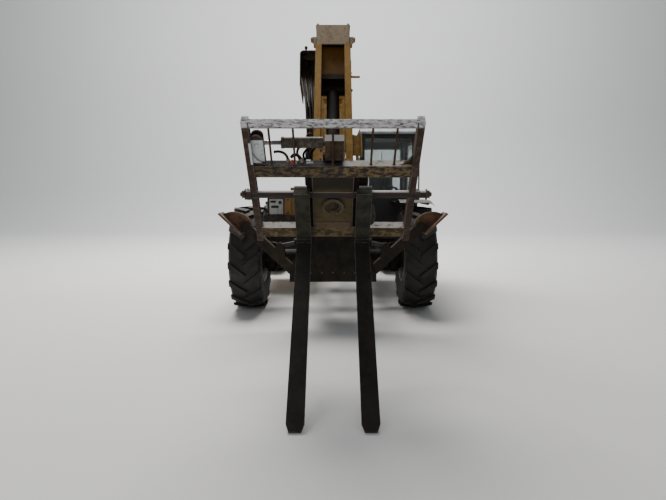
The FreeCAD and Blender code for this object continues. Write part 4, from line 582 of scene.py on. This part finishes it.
def piece(name, grids, material, body=None):
    """One smooth object from grids of points. Four neighbours in a grid make a face; doubled points are merged."""
    corners, quads, start = [], [], 0
    for points, closed_u, closed_v in grids:
        rows, columns = points.shape[:2]
        index = np.arange(rows * columns).reshape(rows, columns) + start
        if closed_u:
            index = np.vstack([index, index[:1]])
        if closed_v:
            index = np.hstack([index, index[:, :1]])
        around = [index[:-1, :-1], index[1:, :-1], index[1:, 1:], index[:-1, 1:]]
        quads.append(np.stack(around, -1).reshape(-1, 4))
        corners.append(points.reshape(-1, 3))
        start += rows * columns
    mesh = bpy.data.meshes.new(name)
    mesh.from_pydata(np.concatenate(corners).tolist(), [], np.concatenate(quads).tolist())
    sewn = bmesh.new()
    sewn.from_mesh(mesh)
    bmesh.ops.remove_doubles(sewn, verts=sewn.verts, dist=1e-5)
    bmesh.ops.recalc_face_normals(sewn, faces=sewn.faces)
    sewn.to_mesh(mesh)
    sewn.free()
    mesh.materials.append(material)
    mesh.polygons.foreach_set("use_smooth", np.ones(len(mesh.polygons), bool))
    made = bpy.data.objects.new(name, mesh)
    bpy.context.scene.collection.objects.link(made)
    if body is not None:
        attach(made, body)
    return made


def unit(vector):
    return np.asarray(vector, float) / np.linalg.norm(vector)


def across(axis):
    """Two unit vectors square to an axis and to each other."""
    axis = unit(axis)
    side = unit(np.cross(axis, X_AXIS if abs(axis[0]) < 0.9 else Z_AXIS))
    return side, np.cross(axis, side)


def circle(count):
    """The angles of that many points round a circle."""
    return np.linspace(0, 2 * np.pi, count, endpoint=False)


def lathe(profile, place, axis, count=24, capped=True):
    """A profile of (along, radius) turned round an axis, its open ends closed by discs.

    A point lies at place + axis*along + radius*(cos a*side + sin a*other).
    """
    axis = unit(axis)
    side, other = across(axis)
    if capped:
        before, after = [[(along, 0)] if radius > 0 else [] for along, radius in (profile[0], profile[-1])]
        profile = [*before, *profile, *after]
    along, radius = np.asarray(profile, float).T
    angle = circle(count)[:, None, None]
    ring = np.cos(angle) * side + np.sin(angle) * other
    return np.asarray(place) + ring * radius[None, :, None] + along[None, :, None] * axis, True, False


def bolts(places, axis, size):
    """At each place a washer and a bolt head of six flats; size is half the head's width over its corners."""
    head = np.array([(0.16, 1.0), (0.72, 1.0), (0.86, 0.86)]) * size
    washer = np.array([(0.0, 1.38), (0.16, 1.38), (0.20, 0.9)]) * size
    return [part for place in places for part in (lathe(head, place, axis, 6), lathe(washer, place, axis, 16))]


def swept(path, radius, count=10, closed=False, flat=1.0, normal=None):
    """A circle carried along a path; its radius may differ from point to point, and flat squashes it."""
    path = np.asarray(path, float)
    ahead = np.roll(path, -1, 0) - np.roll(path, 1, 0) if closed else np.gradient(path, axis=0)
    ahead /= np.linalg.norm(ahead, axis=1)[:, None]
    up = np.broadcast_to(np.asarray(across(ahead[0])[0] if normal is None else normal, float), path.shape)
    side = np.cross(ahead, up)
    side /= np.linalg.norm(side, axis=1)[:, None]
    up = np.cross(side, ahead)
    angle = circle(count)
    radius = np.broadcast_to(np.asarray(radius, float), path.shape[:1])
    ring = np.cos(angle)[None, :, None] * side[:, None] + flat * np.sin(angle)[None, :, None] * up[:, None]
    points = path[:, None] + radius[:, None, None] * ring
    if not closed:
        first, last = [np.repeat(path[k, None, None], count, 1) for k in (0, -1)]
        points = np.concatenate([first, points, last])
    return points, closed, True


def curve(points, count):
    """Cubic B-spline near the points, held at both ends: each stretch blends four neighbours by their weights."""
    points = np.asarray(points, float)
    points = np.concatenate([np.repeat(points[:1], 2, 0), points, np.repeat(points[-1:], 2, 0)])
    place = np.linspace(0, len(points) - 3 - 1e-6, count)
    first = place.astype(int)
    t = (place - first)[:, None]
    weights = ((1 - t) ** 3, 3 * t ** 3 - 6 * t ** 2 + 4, -3 * t ** 3 + 3 * t ** 2 + 3 * t + 1, t ** 3)
    return sum(w * points[first + k] for k, w in enumerate(weights)) / 6


def rounded(width, height, corner, steps=5):
    """Outline of a rectangle with rounded corners, as (a, b) points round its middle."""
    turn = np.linspace(0, np.pi / 2, steps)
    a, b = width / 2 - corner, height / 2 - corner
    arcs = [np.stack([x + corner * np.cos(turn + k * np.pi / 2), y + corner * np.sin(turn + k * np.pi / 2)], 1)
            for k, (x, y) in enumerate([(a, b), (-a, b), (-a, -b), (a, -b)])]
    return np.concatenate(arcs)


def laid(outline, middle, first, second):
    """An outline of (a, b) points laid round a middle, a along the first direction and b along the second."""
    return np.asarray(middle) + outline[..., :1] * np.asarray(first) + outline[..., 1:] * np.asarray(second)


def slab(middle, first, second, width, height, thick, corner=0.01, edge=0.002):
    """A rounded plate: its outline grows over a quarter circle, runs through and shrinks again."""
    turn = np.linspace(0, np.pi / 2, 4)
    shrink = np.concatenate([[edge], edge * (1 - np.sin(turn))])
    depth = np.concatenate([[-thick / 2], -thick / 2 + edge * (1 - np.cos(turn))])
    shrink, depth = np.concatenate([shrink, shrink[::-1]]), np.concatenate([depth, -depth[::-1]])
    scale = np.stack([1 - 2 * shrink / width, 1 - 2 * shrink / height], 1)
    scale[0] = scale[-1] = 0.0
    flat = rounded(width, height, corner)[:, None] * scale[None]
    return laid(flat, middle, first, second) + depth[None, :, None] * np.cross(first, second), True, False


def bead(start, end, size=0.004):
    """A weld bead: a thin rod whose radius swells and narrows with each pass of the torch."""
    start, end = np.asarray(start, float), np.asarray(end, float)
    length = np.linalg.norm(end - start)
    share = np.linspace(0, 1, max(int(length / 0.006), 4))[:, None]
    wander = 0.12 * size * np.sin(share * length * 90.0)
    path = start + (end - start) * share + wander * across(end - start)[0]
    ripple = size * (0.86 + 0.14 * np.abs(np.sin(share[:, 0] * length * np.pi / 0.012)))
    return swept(path, ripple, 6)


def gasket(middle, first, width, height):
    """Rubber strip round an upright window: an oval carried round a rounded rectangle."""
    path = laid(rounded(width, height, 0.035, 6), middle, first, Z_AXIS)
    return swept(path, 0.011, 8, closed=True, flat=0.55, normal=np.cross(first, Z_AXIS))


# Cab: gaskets, wiper, handrail, instruments and pedals

def dress_cab():
    front, rear, inner, outer = CAB_FRONT - 0.001, CAB_REAR + 0.001, CAB_INNER - 0.001, CAB_OUTER + 0.001
    piece("window_gaskets", [gasket((CAB_MIDDLE, front, 1.83), X_AXIS, 0.70, 0.82),
                             gasket((CAB_MIDDLE, rear, 1.715), X_AXIS, 0.70, 0.93),
                             gasket((inner, 1.32, 1.745), Y_AXIS, 1.34, 0.99),
                             gasket((outer, 1.825, 1.745), Y_AXIS, 0.33, 0.99)], GASKET, "chassis")
    piece("door_gaskets", [gasket((outer, 1.13, 1.7195), Y_AXIS, 0.818, 0.939),
                           gasket((outer, 1.0075, 1.0955), Y_AXIS, 0.573, 0.199)], GASKET, "cab_door")
    # Wiper: motor boss, bent arm, and a blade with its rubber
    pivot = np.array([CAB_MIDDLE + 0.02, CAB_FRONT, 1.37])
    arm = pivot + [(0, -0.022, 0), (-0.03, -0.030, 0.10), (-0.07, -0.026, 0.27), (-0.10, -0.016, 0.40)]
    blade = pivot + [(-0.10 - 0.02 * s, -0.012, 0.14 + 0.52 * s) for s in np.linspace(0, 1, 14)]
    grids = [lathe([(0, 0.024), (0.014, 0.022), (0.028, 0.010), (0.030, 0)], pivot, FORWARD, 18),
             swept(arm, 0.0055, 8), swept(blade, 0.0045, 8, flat=1.8, normal=FORWARD),
             swept(blade[3:11] + FORWARD * 0.010, 0.0035, 6)]
    piece("wiper", grids, CAB_PLASTIC, "chassis")
    # Handrail beside the door and its feet
    rail = [(CAB_OUTER + out, 0.63, z) for out, z in ((0.002, 1.30), (0.035, 1.32), (0.042, 1.40), (0.042, 1.95),
                                                      (0.035, 2.03), (0.002, 2.05))]
    grids = [swept(rail, 0.011, 12)]
    grids += [lathe([(0, 0.022), (0.005, 0.020)], (CAB_OUTER, 0.63, z), X_AXIS, 16) for z in (1.30, 2.05)]
    piece("door_handrail", grids, CAB_BLACK, "chassis")
    # Instrument binnacle with its gauges
    grids = [slab((CAB_MIDDLE, 0.77, 1.262), X_AXIS, (0, 0.94, 0.34), 0.22, 0.10, 0.02, 0.02, 0.004)]
    grids += [lathe([(0, 0.024), (0.008, 0.026), (0.012, 0.021), (0.010, 0)], (CAB_MIDDLE + x, 0.768, 1.272),
                    (0, -0.34, 0.94), 20) for x in (-0.06, 0.0, 0.06)]
    # Pedals and their stems
    for x in (-0.14, 0.10, 0.19):
        x += CAB_MIDDLE
        grids.append(slab((x, 0.94, 1.00), X_AXIS, (0, 0.64, 0.77), 0.075, 0.10, 0.012, 0.012, 0.003))
        grids.append(swept([(x, 0.95, 0.995), (x, 0.90, 0.94), (x, 0.87, 0.905)], 0.007, 8))
    # The steering wheel's hub and knob
    column = unit([0.0, 0.16, 0.32])
    hub = np.array([CAB_MIDDLE, 0.93, 1.47])
    grids.append(lathe([(-0.01, 0.045), (0.012, 0.050), (0.030, 0.036), (0.034, 0)], hub, column))
    knob = hub + X_AXIS * 0.15 + column * 0.02
    grids.append(lathe([(0, 0.010), (0.02, 0.012), (0.035, 0.022), (0.052, 0.020), (0.062, 0)], knob, column, 16))
    piece("cab_controls", grids, CAB_PLASTIC, "chassis")
    grids = [lathe([(-0.02, 0.016), (0.0, 0.020), (0.035, 0.024), (0.060, 0.020), (0.070, 0)],
                   (0.495, 1.29, 1.48), (0, -0.3, 0.95), 18),
             lathe([(0, 0.045), (0.012, 0.040), (0.03, 0.022), (0.045, 0.015)], (0.495, 1.337, 1.331), Z_AXIS, 20)]
    piece("joystick_knob", grids, CAB_PLASTIC, "chassis")
    # Door latch plate, and bolts at the roof's corners
    latch = slab((CAB_OUTER + 0.031, 0.687, 1.255), Y_AXIS, Z_AXIS, 0.022, 0.13, 0.008, 0.008)
    piece("door_latch", [latch], BOLT_STEEL, "cab_door")
    corners = [(x, y, 2.370) for x in (CAB_INNER + 0.03, CAB_OUTER - 0.03)
               for y in (CAB_FRONT + 0.08, CAB_REAR - 0.08)]
    piece("roof_bolts", bolts(corners, Z_AXIS, 0.011), BOLT_STEEL, "chassis")


def cushion(middle, half, crown, tilt):
    """A sphere's grid pushed out to a rounded box by |x|^p + |y|^p + |z|^p = 1, then crowned and tilted."""
    u = np.linspace(-np.pi / 2, np.pi / 2, 33)[:, None]
    v = circle(64)[None]
    ball = np.stack([np.cos(u) * np.cos(v), np.cos(u) * np.sin(v), np.sin(u) * np.ones_like(v)], -1)
    form = ball * (np.abs(ball) ** 5).sum(-1)[..., None] ** (-1 / 5)
    swell = 1 + crown * (1 - form[..., 0] ** 2) * (1 - form[..., 1] ** 2)
    # Sewn channels run across the seat, a third of its length apart
    channel = 1 - 0.10 * np.exp(-((np.abs(form[..., 1]) - 0.36) / 0.05) ** 2)
    form[..., 2] *= swell * channel
    form[..., :2] *= (1 - 0.05 * form[..., 2:3] ** 2)
    form = form * half
    turn = math.radians(tilt)
    y = form[..., 1] * math.cos(turn) - form[..., 2] * math.sin(turn)
    z = form[..., 1] * math.sin(turn) + form[..., 2] * math.cos(turn)
    points = np.stack([form[..., 0], y, z], -1) + middle
    return np.transpose(points, (1, 0, 2)), True, False


def puff(pad, cap):
    """Cloth under pressure swells the pad for 20 steps; no point moves further than cap."""
    start = np.empty(len(pad.data.vertices) * 3)
    pad.data.vertices.foreach_get("co", start)
    cloth = pad.modifiers.new("puff", "CLOTH")
    cloth.settings.use_pressure = True
    cloth.settings.uniform_pressure_force = 4.0
    cloth.settings.effector_weights.gravity = 0.0
    cloth.settings.quality = 5
    for step in range(1, 21):
        bpy.context.scene.frame_set(step)
    swollen = pad.evaluated_get(bpy.context.evaluated_depsgraph_get()).to_mesh()
    end = np.empty(len(swollen.vertices) * 3)
    swollen.vertices.foreach_get("co", end)
    pad.modifiers.remove(cloth)
    bpy.context.scene.frame_set(1)
    moved = (end - start).reshape(-1, 3)
    length = np.linalg.norm(moved, axis=1)[:, None]
    moved *= np.minimum(1.0, cap / np.maximum(length, 1e-9))
    pad.data.vertices.foreach_set("co", start + moved.ravel())
    pad.data.update()


def dress_seat():
    low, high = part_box("seat")
    middle_x = (low[0] + high[0]) / 2
    forms = {"seat_cushion": cushion((middle_x, 1.53, 1.285), (0.215, 0.225, 0.042), 0.25, 2.0),
             "seat_back": cushion((middle_x, 1.825, 1.62), (0.205, 0.29, 0.040), 0.22, 79.0)}
    for name, form in forms.items():
        pad = piece(name, [form], SEAT_VINYL)
        puff(pad, 0.008)
        round_off = pad.modifiers.new("round_off", "SUBSURF")
        round_off.levels = round_off.render_levels = 1
        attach(pad, "chassis")
        if name == "seat_cushion":
            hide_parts("seat")
    # Piping round the cushion, the back's shell and the seat's runners
    piping = laid(rounded(0.40, 0.42, 0.06, 8), (middle_x, 1.53, 1.285), X_AXIS, Y_AXIS)
    grids = [swept(piping, 0.005, 8, closed=True, normal=Z_AXIS),
             slab((middle_x, 1.875, 1.60), X_AXIS, (0, 0.19, 0.98), 0.38, 0.52, 0.014, 0.06, 0.004)]
    grids += [slab((middle_x + x, 1.58, 1.2365), Y_AXIS, Z_AXIS, 0.42, 0.012, 0.03, 0.004) for x in (-0.14, 0.14)]
    piece("seat_shell", grids, CAB_PLASTIC, "chassis")


# Engine side: pale plate in its black frame, block, latches, seal and exhaust stub

def dress_engine_side():
    front = CAB_FRONT - 0.004
    plate_x, plate_z, block_x, block_z = -0.815, 1.265, -0.645, 1.27

    def panel(x, z, width, height, thick, corner, edge=0.002, out=0.0):
        return slab((x, front - out, z), X_AXIS, Z_AXIS, width, height, thick, corner, edge)

    plate = panel(plate_x, plate_z, 0.20, 0.22, 0.006, 0.010)
    piece("pale_front_plate", [plate], PALE_PLATE, "engine_hood")
    spots = ((-0.045, 1.335, 0.08, 0.030), (0.055, 1.322, 0.045, 0.045), (-0.02, 1.262, 0.11, 0.034))
    spots = [panel(plate_x + x, z, w, h, 0.004, min(w, h) * 0.3, 0.001, out=0.004) for x, z, w, h in spots]
    piece("plate_cutouts", spots, GUARD_BLACK, "engine_hood")
    bars = [panel(x, plate_z, 0.018, 0.27, 0.012, 0.004) for x in (-0.928, -0.703)]
    bars += [panel(plate_x, z, 0.24, 0.018, 0.012, 0.004) for z in (1.139, 1.391)]
    bars.append(panel(-0.66, 1.085, 0.54, 0.085, 0.010, 0.006))
    piece("front_plate_frame", bars, GUARD_BLACK, "engine_hood")
    block = [panel(block_x, block_z, 0.105, 0.245, 0.016, 0.012, 0.004, out=0.002)]
    block += bolts([(block_x, front - 0.010, block_z + rise) for rise in (0.095, -0.095)], FORWARD, 0.009)
    piece("front_block", block, HOOD_PAINT, "engine_hood")
    latches = []
    for y in (0.80, 1.32, 1.84):
        latches.append(slab((-1.203, y, 0.985), Y_AXIS, Z_AXIS, 0.05, 0.075, 0.010, 0.008))
        latches.append(lathe([(0, 0.014), (0.010, 0.014), (0.014, 0.009)], (-1.207, y, 0.975), -X_AXIS, 16))
    piece("hood_latches", latches, BOLT_STEEL, "engine_hood")
    seal = slab((-1.203, 1.32, 0.925), Y_AXIS, Z_AXIS, 1.38, 0.016, 0.006, 0.004)
    piece("hood_seal", [seal], GASKET, "chassis")
    # Exhaust stub with a rolled lip on the raised hood
    stack = [(-0.01, 0.060), (0.006, 0.058), (0.012, 0.042), (0.10, 0.040), (0.105, 0.043), (0.110, 0.040),
             (0.108, 0.036), (0.02, 0.034)]
    stub = lathe(stack, (-0.66, 1.75, 1.43), Z_AXIS, 28)
    piece("exhaust_stub", [stub], FOOT_STEEL, "engine_hood")


# Boom and gooseneck: pin keepers, bolts, welds and tubes

def keeper(place, outward, radius, body, name):
    """Round pin head under a keeper plate with two bolts."""
    side, other = across(outward)
    grids = [lathe([(0, radius), (0.008, radius), (0.012, radius - 0.005)], place, outward, 28),
             slab(place + side * radius * 1.1 + outward * 0.008, side, other, radius * 1.5, radius * 0.8, 0.010, 0.006)]
    grids += bolts([place + side * radius * offset + outward * 0.013 for offset in (0.75, 1.5)], outward, 0.010)
    piece(name, grids, BOLT_STEEL, body)


def dress_boom():
    for side, label in ((-1, "right"), (1, "left")):
        for name, x, y, z, radius, body in (("boom_pin", 0.350, 3.35, 2.02, 0.055, "chassis"),
                                            ("nose_pin", 0.191, -2.4, 1.49, 0.045, "boom_nose"),
                                            ("tilt_pin", 0.177, -1.6, 2.5, 0.028, "boom_nose")):
            keeper((side * x, y, z), X_AXIS * side, radius, body, name + "_keeper_" + label)
    beads = []
    for side in (-1, 1):
        beads.append(bead(on_neck(side * NECK_HALF, 0.33, -0.017), on_neck(side * NECK_HALF, 1.70, -0.017)))
        beads.append(bead(on_neck(side * 0.170, 0.01, -0.006), on_neck(side * 0.170, 0.28, -0.006)))
    beads.append(bead(on_neck(-0.15, 0.293, -0.004), on_neck(0.15, 0.293, -0.004)))
    piece("neck_welds", beads, WELD, "boom_nose")
    # Beads round the outer section's collar and bolts for its wear pads
    ring = [on_boom(x, 3.59, z) for x, z in ((-0.212, -0.262), (0.212, -0.262), (0.212, 0.262), (-0.212, 0.262))]
    beads = [bead(ring[k], ring[(k + 1) % 4], 0.006) for k in range(4)]
    piece("collar_welds", beads, WELD, "boom_outer")
    grids = []
    for side in (-1, 1):
        grids += bolts([on_boom(side * 0.228, 3.65, z) for z in (-0.16, -0.12, 0.12, 0.16)], X_AXIS * side, 0.011)
    grids += bolts([on_boom(x, 3.67, 0.278) for x in (-0.13, -0.08, 0.08, 0.13)], BOOM_UP, 0.011)
    piece("wear_pad_bolts", grids, BOLT_STEEL, "boom_outer")
    # Two hydraulic tubes along the outer section with their clips
    tube = np.array([on_boom(-0.232, s, -0.12) for s in np.linspace(0.35, 3.35, 40)])
    grids = [swept(tube, 0.009), swept(tube - Z_AXIS * 0.03, 0.009)]
    grids += [slab(on_boom(-0.224, s, -0.135), Y_AXIS, Z_AXIS, 0.03, 0.09, 0.026, 0.006)
              for s in np.linspace(0.6, 3.2, 6)]
    piece("boom_tubes", grids, CYLINDER_BLACK, "boom_outer")


def dress_hoses():
    """Ferrules at the head's hoses, and on the crossmember two short hoses with fittings, a cap and tags."""
    ferrule = [(0, 0.013), (0.030, 0.013), (0.034, 0.010), (0.052, 0.010)]
    grids = [lathe(ferrule, on_carriage(x, v, -0.1429), -X_AXIS, 12)
             for x, v in ((-0.062, 0.747), (-0.062, 0.735), (-0.056, 0.760))]
    piece("head_hose_ferrules", grids, BRASS_FITTING, "head")
    elbow = [on_carriage(*p) for p in ((-0.33, 0.652, -0.035), (-0.33, 0.69, -0.035), (-0.345, 0.728, -0.04),
                                       (-0.39, 0.748, -0.045), (-0.43, 0.738, -0.045))]
    low = [on_carriage(*p) for p in ((-0.23, 0.652, -0.03), (-0.232, 0.678, -0.03), (-0.245, 0.706, -0.034),
                                     (-0.268, 0.722, -0.04), (-0.292, 0.712, -0.045), (-0.305, 0.690, -0.048))]
    grids = [swept(curve(elbow, 24), 0.010), swept(curve(low, 24), 0.012)]
    piece("crossmember_hoses", grids, HOSE_RUBBER, "carriage")
    grids = [lathe([(0, size), (0.03, size), (0.035, size * 0.7)], on_carriage(x, v, -0.03), CARRIAGE_UP, 12)
             for x, v, size in ((-0.23, 0.66, 0.016), (-0.33, 0.655, 0.014))]
    piece("crossmember_fittings", grids, BRASS_FITTING, "carriage")
    cap = lathe([(0, 0.014), (0.022, 0.014), (0.028, 0.008)], on_carriage(-0.30, 0.655, -0.02), CARRIAGE_UP, 14)
    piece("red_cap", [cap], RED_CAP, "carriage")
    tags = [slab(on_carriage(-0.17, 0.662, -0.02), X_AXIS, CARRIAGE_UP, 0.055, 0.020, 0.006, 0.004, 0.001),
            slab(on_carriage(-0.27, 0.668, -0.015), (0.8, 0.36, 0.48), CARRIAGE_UP, 0.012, 0.034, 0.004, 0.003, 0.001)]
    piece("fitting_tags", tags, PALE_PLATE, "carriage")


def dress_neck_bundle():
    """Thin hoses that fill the bundle from the tray down the gooseneck's side, tied by a strap."""
    # Each hose's x at its lower and upper end, and how far behind the front edge it runs
    runs = ((-0.222, -0.318, 0.105), (-0.208, -0.300, 0.050), (-0.194, -0.262, 0.100),
            (-0.186, -0.240, 0.045), (-0.228, -0.342, 0.078), (-0.200, -0.285, 0.120))
    grids = []
    for k, (low, high, behind) in enumerate(runs):
        route = [on_boom(high, BUNDLE_REACH - 0.02 * (k % 3), -0.13 - 0.02 * (k % 2)),
                 on_boom(high, BUNDLE_REACH + 0.03, -0.30), on_neck(high + (low - high) * 0.6, 0.96, -behind),
                 on_neck(low + 0.006, 1.22, -behind - 0.012), on_neck(low - 0.004, 1.45, -behind + 0.008),
                 on_neck(low, 1.665, -behind)]
        grids.append(swept(curve(route, 44), 0.0085 + 0.0015 * (k % 3), 8))
    strap = laid(rounded(0.072, 0.125, 0.03, 6), on_neck(-0.210, 1.47, -0.080), X_AXIS, NECK_OUT)
    grids.append(swept(strap, 0.004, 6, closed=True, flat=2.6, normal=NECK_DOWN))
    piece("neck_hose_bundle", grids, HOSE_RUBBER, "boom_nose")


def dress_carriage():
    beads = []
    for side in (-1, 1):
        x = side * UPRIGHT_INNER
        for v0, v1 in ((-0.095, -0.004), (0.541, 0.639), (0.975, 1.019)):
            beads.append(bead(on_carriage(x, v0, 0.001), on_carriage(x, v1, 0.001), 0.005))
        for v in (MEMBER_TOP, 0.004):
            beads.append(bead(on_carriage(x, v, -0.005), on_carriage(x, v, -0.066), 0.005))
        x = side * (PLATE_HALF + 0.001)
        beads.append(bead(on_carriage(x, 0.010, -0.009), on_carriage(x, 0.534, -0.009)))
    # A bead round each end of the backrest's bars
    ripple = [(-0.004, 0.008), (0.0, 0.013), (0.004, 0.008)]
    beads += [lathe(ripple, on_carriage(x * 1.27, v, -0.020), CARRIAGE_UP, 12, capped=False)
              for x in (-0.354, -0.22, 0.0, 0.22, 0.354) for v in (MEMBER_TOP, TOP_BAR_LOW)]
    piece("carriage_welds", beads, WELD, "carriage")
    # Cotter pins through the shaft's collars, and bolts round the swivel boss
    grids = [swept([on_carriage(x, SHAFT_V + s, -0.02) for s in np.linspace(-0.058, 0.058, 6)], 0.005, 8)
             for x in (-0.655, 0.655)]
    grids += bolts([on_carriage(0.060 * math.cos(a), SWIVEL_V + 0.060 * math.sin(a), 0.0005) for a in circle(6)],
                   CARRIAGE_OUT, 0.007)
    piece("carriage_pins", grids, BOLT_STEEL, "carriage")
    # Washer, crown nut and pin end at each end of the fork shaft
    low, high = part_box("fork_shaft")
    middle = np.array([0.0, (low[1] + high[1]) / 2, (low[2] + high[2]) / 2])
    grids = []
    for side, end_x in ((-1, low[0]), (1, high[0])):
        place = middle + X_AXIS * end_x
        for count, turned in ((24, [(0, 0.044), (0.006, 0.044), (0.008, 0.040)]),
                              (6, [(0.008, 0.034), (0.026, 0.034), (0.030, 0.029)]),
                              (16, [(0.030, 0.018), (0.042, 0.017), (0.045, 0.013)])):
            grids.append(lathe(turned, place, X_AXIS * side, count))
    piece("shaft_nuts", grids, BOLT_STEEL, "carriage")
    # Near-black stiffeners down both edges of the plate, and wider gussets under the upper crossmember, greasy and dark
    # as painted shade
    grids = []
    for side, wide in ((-1, 0.056), (1, 0.110)):
        for x, v, w, width, height, corner in ((0.178, 0.268, -0.020, 0.044, 0.532, 0.003),
                                               (0.157 + wide / 2, 0.485, -0.033, wide, 0.110, 0.012)):
            grids.append(slab(on_carriage(side * x, v, w), X_AXIS, CARRIAGE_UP, width, height, 0.012, corner, 0.001))
    piece("plate_stiffeners", grids, NECK_BLACK, "carriage")


def dress_chassis():
    grids = bolts([(x, 3.950, z) for x in (-0.85, -0.55, 0.55, 0.85) for z in (0.70, 1.05)], Y_AXIS, 0.018)
    grids += bolts([(x, -1.4102, 0.62) for x in np.linspace(-0.24, 0.24, 5)], FORWARD, 0.012)
    for side in (-1, 1):
        grids += bolts([(side * 0.3305, y, 0.88) for y in (-0.30, -0.20, 2.85, 2.95)], X_AXIS * side, 0.013)
    piece("chassis_bolts", grids, BOLT_STEEL, "chassis")
    # Hub covers: a ring of bolts and a drain plug on each
    cover = [(0, 0.036), (0.012, 0.034), (0.016, 0.026), (0.016, 0.012), (0.024, 0.012)]
    for name in WHEELS:
        axle, label = name.split("_")
        side = 1 if label == "left" else -1
        middle = np.array([side * HUB_FACE_X, AXLES[axle], AXLE_Z])
        ring = [middle + (0, 0.098 * math.cos(a), 0.098 * math.sin(a)) for a in circle(10)]
        grids = bolts(ring, X_AXIS * side, 0.008) + [lathe(cover, middle, X_AXIS * side)]
        piece("hub_bolts_" + name, grids, BOLT_STEEL, "wheel_" + name)
    filler = lathe([(0, 0.045), (0.020, 0.045), (0.028, 0.038)], (1.186, 1.75, 0.70), X_AXIS)
    piece("tank_cap", [filler], CAB_PLASTIC, "chassis")


dress_cab()
dress_seat()
dress_engine_side()
dress_boom()
dress_hoses()
dress_neck_bundle()
dress_carriage()
dress_chassis()


# Floor, light and camera

def floor_finish():
    f = Finish("studio_floor", (0.74, 0.735, 0.72))
    f.lay((0.69, 0.685, 0.675), f.noise(0.6), 0.5)
    return f.close(0.85)


# Floor that sweeps up behind the machine: flat, a quarter circle, then upright
HALF_WIDTH, BEND_START, BEND, WALL_TOP = 300.0, 11, 6, 120.0
turn = np.linspace(0, np.pi / 2, 24)
bend = np.stack([BEND_START + BEND * np.sin(turn), BEND - BEND * np.cos(turn)], 1)
sweep = np.concatenate([[(-HALF_WIDTH, 0.0), (4.0, 0.0)], bend, [(BEND_START + BEND, WALL_TOP)]])
backdrop = np.stack([np.insert(sweep, 0, x, axis=1) for x in (-HALF_WIDTH, HALF_WIDTH)])
piece("studio_floor", [(backdrop, False, False)], floor_finish())

world = bpy.data.worlds.new("studio")
bpy.context.scene.world = world
world.use_nodes = True
background = world.node_tree.nodes["Background"]
background.inputs[0].default_value = (0.86, 0.90, 0.95, 1)
background.inputs[1].default_value = 0.30


def softbox(name, place, target, size, power, colour):
    """A soft area light at place, turned to target."""
    light = bpy.data.lights.new(name, "AREA")
    light.shape = "RECTANGLE"
    light.size, light.size_y = size
    light.energy = power
    light.color = colour
    lamp = bpy.data.objects.new(name, light)
    bpy.context.scene.collection.objects.link(lamp)
    lamp.location = place
    lamp.rotation_euler = (Vector(target) - Vector(place)).to_track_quat("-Z", "Y").to_euler()


softbox("overhead", (-1.5, 3.5, 9.0), (0, -0.6, 0.8), (6.0, 6.0), 1700, (1.0, 0.98, 0.95))
softbox("front_fill", (-2.0, -9.5, 4.5), (0, -1.0, 1.4), (7.0, 4.0), 90, (0.97, 0.985, 1.0))
softbox("backdrop_light", (0, 6.0, 11.0), (0, 17.0, 5.0), (16.0, 3.0), 2200, (0.96, 0.98, 1.0))

# The photograph's camera: focal length and width in pixels, height and pitch in metres and degrees
PHOTO_FOCAL, PHOTO_WIDTH, EYE_HEIGHT, PITCH = 540.0, 666.0, 1.53, 6.55
camera = bpy.data.objects.new("camera", bpy.data.cameras.new("camera"))
bpy.context.scene.collection.objects.link(camera)
camera.data.sensor_width = 36.0
camera.data.lens = PHOTO_FOCAL * camera.data.sensor_width / PHOTO_WIDTH
camera.location = (0.0, -7.185, EYE_HEIGHT)
camera.rotation_euler = (math.radians(90.0 - PITCH), 0.0, 0.0)
bpy.context.scene.camera = camera
